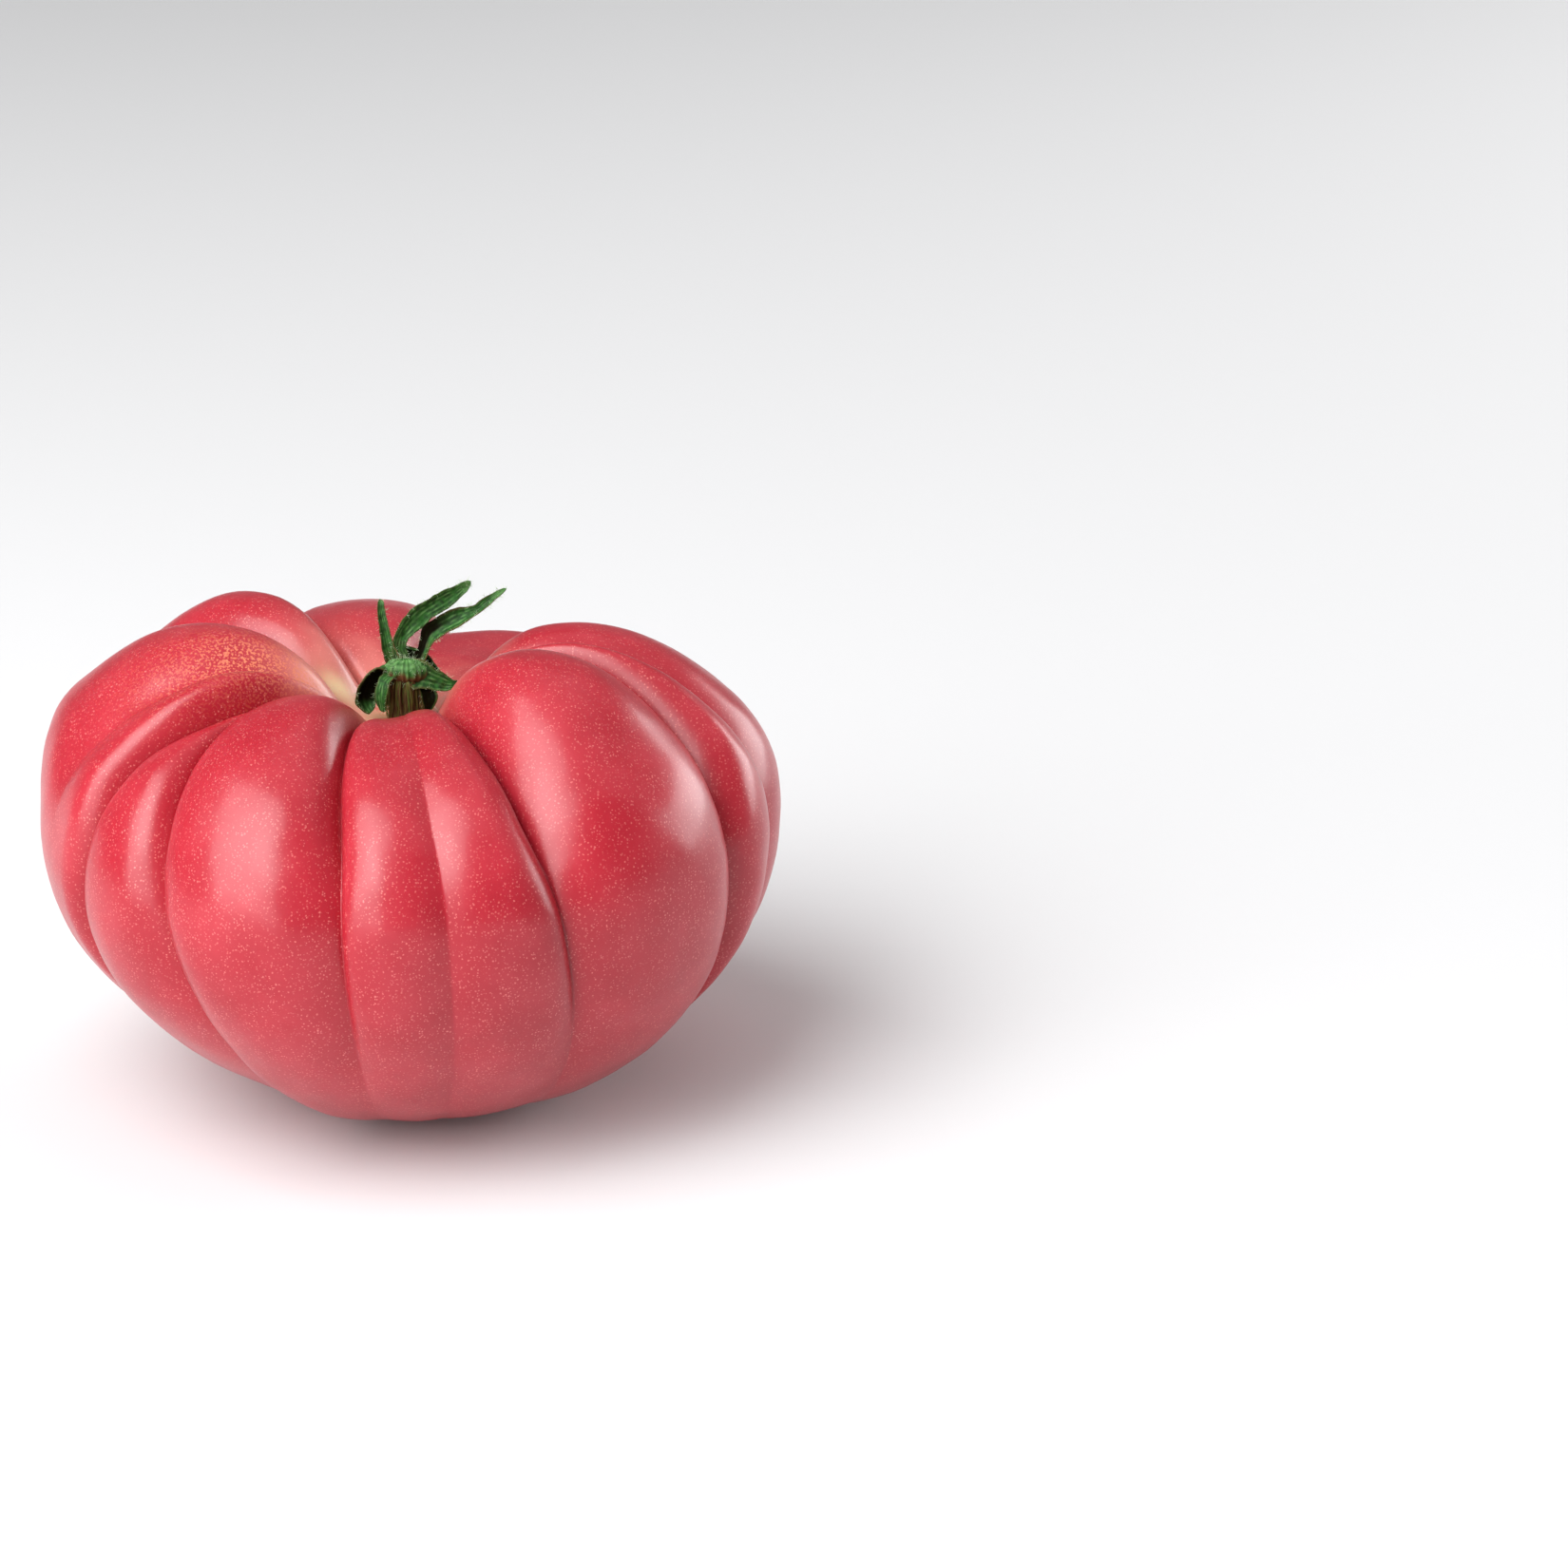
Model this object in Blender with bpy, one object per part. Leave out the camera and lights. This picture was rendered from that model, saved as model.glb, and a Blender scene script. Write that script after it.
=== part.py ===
"""A ribbed pink tomato, as picked: the fruit, the stub of its stalk in the stem pit, and the green calyx.

The fruit is a flattened ball whose half section, the meridian, runs from the middle of the stem pit over
the crest and the girth to the small flat spot that it rests on. Deep creases run down it like the lines of
longitude on a globe, but not evenly. Between two creases stands a rib, which swells above the meridian by its
own amount.

Origin: the middle of the flat spot. +Z is up, and -Y is the side with the narrow middle rib.
"""

from typing import NamedTuple

import bmesh
import bpy
import numpy as np
from mathutils import Vector

MM = 0.001

# The fruit, in millimetres.
# Half section (radius, height), from the pit's middle, over the crest and the girth, to the flat spot's rim.
MERIDIAN = (
    (1.5, 50.4), (6.5, 51.2), (10.5, 54.6), (20.0, 59.6), (33.5, 57.6), (44.3, 50.0),
    (49.4, 38.0), (45.6, 22.3), (34.5, 9.4), (23.0, 2.9), (13.5, 0.0),
)
# Places along that section, counted in its points.
PIT_MIDDLE, PIT_WALL, CREST, SHOULDER = 0, 1, 3.4, 4.7
GIRTH, UNDERSIDE_HIGH, UNDERSIDE, FLAT_RIM = 6, 7.5, 8.3, 10
# How far the fruit's middle line leans to the right of the flat spot at each place.
LEAN_AT = (PIT_MIDDLE, PIT_WALL, CREST, GIRTH, UNDERSIDE, FLAT_RIM)
LEAN = (-0.4, -0.6, -1.8, -0.9, 0.0, 0.0)
# Grid lines between each two points of the half section.
ROWS_PER_SPAN = (2, 3, 4, 3, 3, 3, 3, 3, 3, 2)
PIT_FLOOR_HEIGHT = 50.3


class Rib(NamedTuple):
    """One rib of the fruit and the crease on its left, seen from outside.

    azimuth: the crease's direction from the front, in degrees, at the pit wall, crest, shoulder, girth, upper
        underside and flat spot.
    crease: its depth below the meridian at the pit wall, crest, shoulder, girth and underside.
    swell: the rib's height above the meridian at the crest, shoulder, girth and underside.
    crest_edges: how tight the skin turns into the crease from its left and from its right, as far down as the
        shoulder; below 0 it eases in.
    girth_edges: the same at the girth.
    overhang: how far the skin on the crease's right hangs over it, or below 0 the skin on its left.
    columns: grid columns across the rib.
    """

    name: str
    azimuth: tuple
    crease: tuple
    swell: tuple
    crest_edges: tuple
    girth_edges: tuple
    overhang: float
    columns: int


RIBS = (
    Rib("left", (-92, -110, -113, -113, -110, -100), (1.5, 5.5, 5.5, 4.5, 1.0), (4.0, 2.2, -1.4, -3.2),
        (0.8, 0.7), (0.8, 0.7), 0.0, 12),
    Rib("left_ridge", (-60, -64, -68, -70, -70, -70), (0.0, -0.2, 0.6, 1.4, 2.4), (1.4, 0.0, -1.4, -3.0),
        (-0.9, -0.9), (-0.9, -0.9), 0.0, 8),
    Rib("left_small", (-55, -51.4, -56.2, -58.6, -64, -66), (1.0, 4.0, 4.6, 4.5, 3.0),
        (-3.0, -1.1, -1.0, -1.7), (0.4, 0.9), (0.3, 0.9), 0.5, 10),
    Rib("front_left", (-48, -46.8, -41.6, -37.3, -32, -26), (1.0, 4.5, 5.0, 4.2, 1.5), (0.2, 0.2, 0.0, 0.2),
        (0.4, 0.9), (0.1, 0.9), 0.6, 16),
    Rib("front_middle", (-20, -10.5, -7.2, -6.0, -5.5, -6), (1.8, 5.4, 5.4, 3.0, 0.1), (-2.5, -0.6, 0.0, 0.2),
        (0.5, 0.8), (0.1, 0.8), 0.4, 8),
    Rib("front_middle_right", (3, 8.5, 9.2, 10.2, 11, 11), (0.0, 2.0, 1.6, 1.2, 0.1), (-1.2, -0.3, 0.1, 0.2),
        (-0.8, -0.2), (-0.8, -0.4), 0.0, 8),
    Rib("front_right", (18, 26, 26.7, 29, 33.4, 37), (1.8, 6.6, 5.6, 3.2, 0.1), (4.4, 1.8, 0.5, 0.4),
        (0.5, 0.5), (0.5, 0.2), -0.3, 18),
    Rib("right_thin", (84, 80, 73, 68, 74, 79), (1.5, 6.0, 6.0, 4.5, 1.2), (1.8, 0.9, 0.0, -0.4),
        (0.9, 0.3), (0.9, 0.3), -0.3, 8),
    Rib("right", (97, 92, 90, 87, 80.5, 84), (1.5, 5.0, 5.0, 4.5, 1.2), (1.0, 0.8, 1.7, 1.6),
        (0.9, 0.4), (0.9, 0.4), -0.5, 12),
    Rib("back_right", (128, 128, 126, 124, 124, 124), (1.5, 6.0, 6.0, 4.0, 0.8), (-7.0, -3.4, -0.6, 0.4),
        (0.8, 0.8), (0.8, 0.8), 0.0, 14),
    Rib("back", (178, 174, 172, 172, 172, 172), (1.5, 6.0, 6.0, 4.0, 0.8), (-1.6, -0.4, 0.0, 0.0),
        (0.6, 0.9), (0.6, 0.9), 0.3, 14),
    Rib("back_left", (216, 213, 210, 208, 210, 212), (1.5, 6.0, 5.5, 4.0, 0.8), (3.0, 2.0, 0.2, -1.0),
        (0.9, 0.5), (0.9, 0.5), -0.3, 14),
)
AZIMUTH_AT = (PIT_WALL, CREST, SHOULDER, GIRTH, UNDERSIDE_HIGH, FLAT_RIM)
CREASE_AT = (PIT_MIDDLE, PIT_WALL, CREST, SHOULDER, GIRTH, UNDERSIDE, FLAT_RIM)
SWELL_AT = (PIT_MIDDLE, PIT_WALL, CREST, SHOULDER, GIRTH, UNDERSIDE, FLAT_RIM)
EDGE_AT = (SHOULDER, GIRTH, UNDERSIDE)
# On the underside every crease eases in.
LOW_TIGHTNESS = -0.8
# How flat the ribs' tops are: 2 is a parabola.
ARCH = 2.4
# An overhang is widest this far from the crease, as a share of the way to the rib's top. It has its full
# width where the crease is this deep and the ribs on both sides of it are this wide, in millimetres.
OVERHANG_REACH = 0.3
OVERHANG_FULL_DEPTH = 3.0
OVERHANG_FULL_WIDTH = 8.0

# The stub of the stalk, in millimetres: rings of (radius, height), and its grooves.
STALK_MIDDLE = (-0.3, -0.2)
STALK_RINGS = ((2.35, 51.0), (2.15, 52.1), (1.95, 53.4), (1.85, 54.6), (1.8, 55.5))
STALK_SIDES = 28
STALK_GROOVES = 7
STALK_GROOVE_DEPTH = 0.14

# The calyx, in millimetres: the disc that the sepals grow from, and the sepals.
DISC_MIDDLE = (0.0, -0.3, 57.6)
DISC_HALF_SIZE = (3.1, 2.6, 1.8)
SEPAL_THICKNESS = 0.72


class Sepal(NamedTuple):
    """One sepal, a narrow leaf along a curve.

    path: points along its middle, from its root in the disc to its tip.
    widths: its width at the same points.
    side: a direction across the blade.
    fold: how far its edges stand forward of its middle, as a share of half the width.
    notches: how many shallow waves its edges have.
    """

    name: str
    path: tuple
    widths: tuple
    side: tuple
    fold: float
    notches: int


SEPALS = (
    Sepal("narrow_upright", ((-1.6, 0.3, 58.0), (-2.5, 0.9, 59.9), (-3.0, 1.3, 62.4), (-3.4, 1.7, 64.8),
                             (-3.5, 2.0, 66.6)), (2.4, 1.8, 1.4, 1.1, 0.8), (1.0, 0.2, 0.1), 0.7, 0),
    Sepal("broad_upright", ((-0.6, 0.7, 58.0), (-1.1, 1.3, 61.0), (0.8, 2.1, 63.6), (2.8, 2.8, 65.1),
                            (5.8, 3.6, 66.7), (8.3, 4.2, 68.4)), (2.0, 2.0, 2.7, 2.7, 2.1, 1.2),
          (0.66, 0.1, -0.75), 0.35, 3),
    Sepal("folded_upright", ((1.4, 0.4, 58.0), (2.3, 0.8, 59.9), (3.1, 1.3, 61.7), (4.6, 1.7, 62.8),
                             (6.9, 2.3, 63.9), (9.1, 2.8, 64.8), (11.0, 3.4, 66.1), (13.0, 4.0, 67.4)),
          (1.6, 1.8, 2.3, 2.8, 2.3, 1.5, 1.1, 0.7), (0.5, -0.5, -0.7), 0.7, 4),
    Sepal("back_rim", ((-1.8, 1.2, 58.6), (-0.3, 1.9, 59.0), (1.3, 1.9, 58.6), (2.7, 1.5, 57.6),
                       (4.2, 0.9, 56.5)), (2.0, 2.2, 2.2, 1.9, 1.1), (0.0, -0.2, -0.98), 0.3, 2),
    Sepal("right_arched", ((0.4, -0.9, 57.6), (2.2, -1.3, 57.0), (3.9, -1.1, 56.3), (5.6, -0.5, 55.6),
                           (7.6, 0.4, 55.4)), (3.6, 3.6, 2.7, 1.5, 0.7), (0.2, 0.42, 0.88), -0.4, 2),
    Sepal("right_hanging", ((0.9, -0.9, 57.3), (2.0, -1.6, 56.6), (2.7, -2.0, 55.4), (2.8, -2.1, 54.0),
                            (2.6, -2.0, 52.6)), (2.4, 2.4, 2.4, 2.1, 1.2), (0.95, 0.3, 0.0), -0.4, 2),
    Sepal("left_curled", ((-1.6, -0.4, 58.0), (-3.0, -0.5, 57.9), (-4.5, -1.1, 57.2), (-5.6, -1.6, 55.3),
                          (-5.7, -2.1, 53.6), (-4.9, -2.8, 52.3)), (2.4, 2.6, 3.1, 3.6, 3.4, 1.8),
          (-0.75, -0.6, 0.0), 0.5, 4),
    Sepal("front_hanging", ((-1.0, -1.2, 57.4), (-2.3, -2.2, 57.0), (-3.0, -3.0, 55.8), (-3.1, -3.3, 54.2),
                            (-3.0, -3.2, 52.7)), (1.9, 2.0, 1.9, 1.6, 0.8), (0.9, -0.45, 0.0), -0.5, 2),
)
SEPAL_STEPS = 12
SEPAL_WAVE = 0.08

FRUIT_COLOUR = (0.66, 0.045, 0.065, 1.0)
CALYX_COLOUR = (0.045, 0.15, 0.03, 1.0)
STALK_COLOUR = (0.16, 0.10, 0.03, 1.0)


def smooth_curve(places, values, at):
    """Read a natural cubic spline through (places, values) at the places asked for.

    Args:
        places: increasing numbers, one for each value.
        values: numbers or points.
        at: an array of places to read.

    Returns:
        One value or point for each place asked for.
    """
    x = np.asarray(places, float)
    y = np.asarray(values, float)
    rows = y.reshape(len(x), -1)
    step = np.diff(x)
    system = np.eye(len(x))
    right_side = np.zeros_like(rows)
    for i in range(1, len(x) - 1):
        system[i, i - 1:i + 2] = step[i - 1], 2 * (step[i - 1] + step[i]), step[i]
        right_side[i] = 6 * ((rows[i + 1] - rows[i]) / step[i] - (rows[i] - rows[i - 1]) / step[i - 1])
    bend = np.linalg.solve(system, right_side)
    at = np.asarray(at, float)
    k = np.clip(np.searchsorted(x, at, side="right") - 1, 0, len(x) - 2)
    past = (at - x[k])[..., None]
    left = (x[k + 1] - at)[..., None]
    span = step[k][..., None]
    curve = (bend[k] * left**3 + bend[k + 1] * past**3) / (6 * span)
    curve += (rows[k] / span - bend[k] * span / 6) * left
    curve += (rows[k + 1] / span - bend[k + 1] * span / 6) * past
    return curve.reshape(at.shape + y.shape[1:])


def eased(places, values, at):
    """Read values joined by half waves of a cosine, so that the curve lies level at each place."""
    x = np.asarray(places, float)
    y = np.asarray(values, float)
    k = np.clip(np.searchsorted(x, at, side="right") - 1, 0, len(x) - 2)
    share = np.clip((at - x[k]) / (x[k + 1] - x[k]), 0, 1)
    weight = (1 - np.cos(np.pi * share)) / 2
    return y[k] * (1 - weight) + y[k + 1] * weight


def meridian(at):
    """Give the half section's points and its outward normals at the places asked for, in millimetres."""
    places = np.arange(len(MERIDIAN))
    nudge = 0.001
    point = smooth_curve(places, MERIDIAN, at)
    before = smooth_curve(places, MERIDIAN, np.clip(at - nudge, 0, places[-1]))
    after = smooth_curve(places, MERIDIAN, np.clip(at + nudge, 0, places[-1]))
    along = after - before
    normal = np.stack([-along[..., 1], along[..., 0]], -1)
    return point, normal / np.linalg.norm(normal, axis=-1, keepdims=True)


def rise(share, tightness):
    """Give the share of the height from a crease to a rib's top, from 0 to 1.

    A flat-topped arch is raised to a power: below 1 the skin turns tightly out of the crease, above 1 it
    eases out.
    """
    return (1 - (1 - np.clip(share, 0, 1)) ** ARCH) ** (1 - 0.5 * tightness)


def crease_azimuth(number, at):
    """Give a crease's azimuths in degrees, counted from the first rib's left one and on round the fruit."""
    turns, index = divmod(number, len(RIBS))
    return smooth_curve(AZIMUTH_AT, np.add(RIBS[index].azimuth, 360 * turns), at)


def overhang(size, share, depth, width):
    """Give the sideways push of the skin beside a crease, in millimetres.

    It is a half wave across the foot of the rib, and fades where the crease is shallow or a rib beside it
    is narrow.
    """
    wave = np.sin(np.pi / 2 * np.clip(share / OVERHANG_REACH, 0, 2))
    room = np.clip(depth / OVERHANG_FULL_DEPTH, 0, 1) * np.clip(width / OVERHANG_FULL_WIDTH, 0, 1) ** 2
    return size * wave * room


def rib_points(index, across, at):
    """Give the skin of one rib as a grid of points.

    The meridian is turned about the fruit's middle line to each azimuth between the rib's two creases, and
    moved along its own normal by the rib's swell, which falls to the crease's level towards either side.

    Args:
        index: the rib's place in RIBS.
        across: shares of the way from the rib's left crease (0) to its right one (1).
        at: places along the meridian.

    Returns:
        An array of points (across, at, 3) in millimetres.
    """
    rib = RIBS[index]
    after = RIBS[(index + 1) % len(RIBS)]
    share = np.asarray(across, float)[:, None]
    section, normal = meridian(at)
    before, left, right, beyond = (np.radians(crease_azimuth(index + k, at)) for k in (-1, 0, 1, 2))
    level_left = -eased(CREASE_AT, (0, *rib.crease, 0), at)
    level_right = -eased(CREASE_AT, (0, *after.crease, 0), at)
    top = eased(SWELL_AT, (0, 0, *rib.swell, 0), at)
    tight_left = eased(EDGE_AT, (rib.crest_edges[1], rib.girth_edges[1], LOW_TIGHTNESS), at)
    tight_right = eased(EDGE_AT, (after.crest_edges[0], after.girth_edges[0], LOW_TIGHTNESS), at)
    from_left = level_left + (top - level_left) * rise(2 * share, tight_left)
    from_right = level_right + (top - level_right) * rise(2 * (1 - share), tight_right)
    offset = np.where(share < 0.5, from_left, from_right)
    radius = section[:, 0] + normal[:, 0] * offset
    height = section[:, 1] + normal[:, 1] * offset
    wide_left = radius * np.minimum(left - before, right - left)
    wide_right = radius * np.minimum(beyond - right, right - left)
    push = overhang(max(-after.overhang, 0), 2 * (1 - share), -level_right, wide_right)
    push = push - overhang(max(rib.overhang, 0), 2 * share, -level_left, wide_left)
    azimuth = left + (right - left) * share + push / radius
    x = radius * np.sin(azimuth) + eased(LEAN_AT, LEAN, at)
    return np.stack([x, -radius * np.cos(azimuth), height], -1)


def make_object(name, points, faces, colour, roughness):
    """Make a smooth-shaded object with one material from points in millimetres."""
    mesh = bpy.data.meshes.new(name)
    mesh.from_pydata([tuple(point * MM) for point in np.asarray(points)], [], faces)
    mesh.update()
    mesh.shade_smooth()
    material = bpy.data.materials.new(name)
    material.use_nodes = True
    shader = material.node_tree.nodes["Principled BSDF"]
    shader.inputs["Base Color"].default_value = colour
    shader.inputs["Roughness"].default_value = roughness
    shader.inputs["Metallic"].default_value = 0.0
    mesh.materials.append(material)
    thing = bpy.data.objects.new(name, mesh)
    bpy.context.scene.collection.objects.link(thing)
    return thing


def band_faces(first, second):
    """Join two closed rings of point numbers with triangles."""
    count = len(first)
    faces = []
    for i in range(count):
        j = (i + 1) % count
        faces.append((first[i], second[i], second[j]))
        faces.append((first[i], second[j], first[j]))
    return faces


def make_fruit():
    """Make the fruit: the ribs side by side, the pit's floor closed to a point, and the flat spot."""
    at = [0.0]
    for span, rows in enumerate(ROWS_PER_SPAN):
        at.extend(span + (row + 1) / rows for row in range(rows))
    at = np.array(at)
    strips = []
    for index, rib in enumerate(RIBS):
        # Columns lie closer together towards the creases.
        across = (1 - np.cos(np.pi * np.arange(rib.columns) / rib.columns)) / 2
        strips.append(rib_points(index, across, at))
    grid = np.concatenate(strips)
    columns, rows = grid.shape[:2]
    points = list(grid.transpose(1, 0, 2).reshape(-1, 3))
    points.append(np.array([LEAN[0], 0.0, PIT_FLOOR_HEIGHT]))
    rings = [list(range(row * columns, (row + 1) * columns)) for row in range(rows)]
    faces = []
    for upper, lower in zip(rings, rings[1:]):
        faces.extend(band_faces(upper, lower))
    middle = len(points) - 1
    faces.extend((middle, rings[0][i], rings[0][(i + 1) % columns]) for i in range(columns))
    faces.append(tuple(reversed(rings[-1])))
    return make_object("fruit", points, faces, FRUIT_COLOUR, 0.35)


def make_stalk():
    """Make the stub of the stalk: an upright grooved stub, closed at both ends."""
    turn = 2 * np.pi * np.arange(STALK_SIDES) / STALK_SIDES
    grooves = 1 - STALK_GROOVE_DEPTH * (0.5 + 0.5 * np.cos(STALK_GROOVES * turn))
    points = []
    for radius, height in STALK_RINGS:
        ring = radius * grooves
        points.extend(np.stack([STALK_MIDDLE[0] + ring * np.cos(turn), STALK_MIDDLE[1] + ring * np.sin(turn),
                                np.full(STALK_SIDES, height)], -1))
    rings = [list(range(i * STALK_SIDES, (i + 1) * STALK_SIDES)) for i in range(len(STALK_RINGS))]
    faces = [tuple(reversed(rings[0])), tuple(rings[-1])]
    for lower, upper in zip(rings, rings[1:]):
        faces.extend(band_faces(upper, lower))
    return make_object("stalk", points, faces, STALK_COLOUR, 0.8)


def sepal_mesh(sepal):
    """Give the points and faces of one sepal, a blade of even thickness along its curve.

    At each step along the path stands a cross-section of ten points: five on the upper face and five on the
    lower one, bent by the fold. Both faces are cut into triangles along the same diagonals.
    """
    places = np.arange(len(sepal.path))
    at = np.linspace(0, places[-1], SEPAL_STEPS + 1)
    middle = smooth_curve(places, sepal.path, at)
    width = smooth_curve(places, sepal.widths, at)
    share = at / places[-1]
    width = width * (1 + SEPAL_WAVE * np.sin(2 * np.pi * sepal.notches * share))
    points = []
    for i in range(SEPAL_STEPS + 1):
        along = Vector(middle[min(i + 1, SEPAL_STEPS)] - middle[max(i - 1, 0)]).normalized()
        side = Vector(sepal.side)
        side = (side - along * side.dot(along)).normalized()
        out = side.cross(along).normalized()
        ring = []
        for face in (1, -1):
            for v in np.linspace(-1, 1, 5) * face:
                lift = sepal.fold * v * v * width[i] / 2 + face * SEPAL_THICKNESS / 2
                ring.append(Vector(middle[i]) + side * (v * width[i] / 2) + out * lift)
        points.extend(ring)
    faces = []
    for i in range(SEPAL_STEPS):
        for j in range(10):
            a, b = i * 10 + j, i * 10 + (j + 1) % 10
            c, d = a + 10, b + 10
            # The same diagonal in space on both faces: the lower face runs the other way.
            if j < 5:
                faces.extend(((a, b, d), (a, d, c)))
            else:
                faces.extend(((a, b, c), (b, d, c)))
    last = SEPAL_STEPS * 10
    for start, turned in ((0, True), (last, False)):
        for j in range(4):
            a, b, c, d = start + j, start + j + 1, start + 8 - j, start + 9 - j
            for face in ((a, b, c), (a, c, d)):
                faces.append(tuple(reversed(face)) if turned else face)
    return points, faces


def keep_outer_skin(mesh):
    """Fill the hollows that joined leaves shut off: keep the largest connected skin and drop the rest."""
    work = bmesh.new()
    work.from_mesh(mesh)
    left = set(work.verts)
    skins = []
    while left:
        skin = {left.pop()}
        front = list(skin)
        while front:
            for edge in front.pop().link_edges:
                for vertex in edge.verts:
                    if vertex in left:
                        left.remove(vertex)
                        skin.add(vertex)
                        front.append(vertex)
        skins.append(skin)
    skins.sort(key=len)
    for skin in skins[:-1]:
        bmesh.ops.delete(work, geom=list(skin), context="VERTS")
    work.to_mesh(mesh)
    work.free()


def make_calyx():
    """Make the calyx: the sepals joined to the disc that they grow from, as one body."""
    bpy.ops.mesh.primitive_uv_sphere_add(segments=20, ring_count=10, radius=1.0)
    disc = bpy.context.active_object
    disc.name = "calyx"
    disc.data.name = "calyx"
    for vertex in disc.data.vertices:
        vertex.co = (Vector(DISC_MIDDLE) + Vector(a * b for a, b in zip(vertex.co, DISC_HALF_SIZE))) * MM
    material = bpy.data.materials.new("calyx")
    material.use_nodes = True
    shader = material.node_tree.nodes["Principled BSDF"]
    shader.inputs["Base Color"].default_value = CALYX_COLOUR
    shader.inputs["Roughness"].default_value = 0.6
    disc.data.materials.append(material)
    blades = bpy.data.collections.new("sepals")
    bpy.context.scene.collection.children.link(blades)
    for sepal in SEPALS:
        points, faces = sepal_mesh(sepal)
        blade = make_object("sepal_" + sepal.name, points, faces, CALYX_COLOUR, 0.6)
        bpy.context.scene.collection.objects.unlink(blade)
        blades.objects.link(blade)
    union = disc.modifiers.new("sepals", "BOOLEAN")
    union.operation = "UNION"
    union.operand_type = "COLLECTION"
    union.collection = blades
    bpy.context.view_layer.objects.active = disc
    bpy.ops.object.modifier_apply(modifier=union.name)
    for blade in list(blades.objects):
        bpy.data.objects.remove(blade, do_unlink=True)
    bpy.data.collections.remove(blades)
    keep_outer_skin(disc.data)
    disc.data.shade_smooth()
    return disc


def main():
    """Clear the scene and build the three pieces."""
    for thing in list(bpy.data.objects):
        bpy.data.objects.remove(thing, do_unlink=True)
    make_fruit()
    make_stalk()
    make_calyx()


main()
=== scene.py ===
"""The looks of a ribbed pink tomato: its skin, the green calyx with its hairs, and the stub of the stalk.

Every shape is a function of two parameters, worked out as whole arrays in millimetres and turned to metres
where its mesh is made. The fruit repeats the named sizes of the solid model, on a finer grid.
"""

import logging
import math
from dataclasses import dataclass
from enum import Enum
from typing import Any, NamedTuple

import bpy
import numpy as np
from mathutils import Matrix, Vector

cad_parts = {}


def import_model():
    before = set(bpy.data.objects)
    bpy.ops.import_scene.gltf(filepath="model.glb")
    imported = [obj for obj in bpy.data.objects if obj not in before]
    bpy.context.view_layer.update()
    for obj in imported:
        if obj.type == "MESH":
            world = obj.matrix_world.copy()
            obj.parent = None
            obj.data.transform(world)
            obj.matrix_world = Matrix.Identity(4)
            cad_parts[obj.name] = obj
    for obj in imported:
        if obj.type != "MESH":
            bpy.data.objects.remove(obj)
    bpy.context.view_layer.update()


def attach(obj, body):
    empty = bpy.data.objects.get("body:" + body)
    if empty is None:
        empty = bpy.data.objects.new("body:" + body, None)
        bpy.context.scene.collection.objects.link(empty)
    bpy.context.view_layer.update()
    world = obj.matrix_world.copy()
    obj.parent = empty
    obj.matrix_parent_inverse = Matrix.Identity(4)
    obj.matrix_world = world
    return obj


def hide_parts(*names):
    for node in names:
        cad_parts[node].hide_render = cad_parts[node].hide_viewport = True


LOG = logging.getLogger("pink_tomato")
MM = 0.001
Array = np.ndarray

# The mix node's sockets for colours, by number, because its sockets share their names.
MIX_FACTOR, MIX_A, MIX_B, MIX_RESULT = 0, 6, 7, 2


class Slot(Enum):
    """The record's material slots."""

    SKIN = "skin"
    STALK = "stalk"
    CALYX = "calyx"


def to_linear(hex_colour: str) -> tuple[float, float, float, float]:
    """Turn an sRGB hex colour into the linear colour that a shader takes.

    Args:
        hex_colour: six hex digits, with or without a leading #.

    Returns:
        Red, green, blue and alpha, from 0 to 1.
    """
    digits = hex_colour.lstrip("#")
    channels = [int(digits[i:i + 2], 16) / 255 for i in (0, 2, 4)]
    linear = [c / 12.92 if c <= 0.04045 else ((c + 0.055) / 1.055) ** 2.4 for c in channels]
    return linear[0], linear[1], linear[2], 1.0


def add_node(tree: bpy.types.NodeTree, kind: str, inputs: dict[Any, Any] | None = None,
             **settings: Any) -> bpy.types.Node:
    """Add one node to a tree, with its settings and its links.

    Args:
        tree: the tree that the node goes into.
        kind: the node's type name.
        inputs: each socket's name or number, with its value or the output that feeds it.
        **settings: the node's own properties.

    Returns:
        The new node.
    """
    node = tree.nodes.new(kind)
    for name, value in settings.items():
        setattr(node, name, value)
    for key, value in (inputs or {}).items():
        if isinstance(value, bpy.types.NodeSocket):
            tree.links.new(value, node.inputs[key])
        else:
            node.inputs[key].default_value = value
    return node


def new_material(name: str) -> tuple[bpy.types.Material, bpy.types.NodeTree, bpy.types.Node]:
    """Make a material and give its tree and its Principled shader.

    Args:
        name: the material's name.

    Returns:
        The material, its node tree and the shader node.
    """
    material = bpy.data.materials.new(name)
    material.use_nodes = True
    return material, material.node_tree, material.node_tree.nodes["Principled BSDF"]


def lay_tints(tree: bpy.types.NodeTree, first: str,
              layers: tuple[tuple[str, Any], ...]) -> bpy.types.NodeSocket:
    """Lay tints over a first colour, one after another, each as strongly as its mask says.

    Args:
        tree: the material's node tree.
        first: the hex colour below them all.
        layers: each tint's hex colour with the output that masks it.

    Returns:
        The output that gives the finished colour.
    """
    colour = add_node(tree, "ShaderNodeRGB").outputs[0]
    colour.default_value = to_linear(first)
    for tint, mask in layers:
        mix = add_node(tree, "ShaderNodeMix", {
            MIX_FACTOR: mask, MIX_A: colour, MIX_B: to_linear(tint)}, data_type="RGBA")
        colour = mix.outputs[MIX_RESULT]
    return colour


def set_inputs(node: bpy.types.Node, values: dict[str, Any]) -> None:
    """Set several of a node's own sockets.

    Args:
        node: the node.
        values: each socket's name with its value.
    """
    for name, value in values.items():
        node.inputs[name].default_value = value


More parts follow.
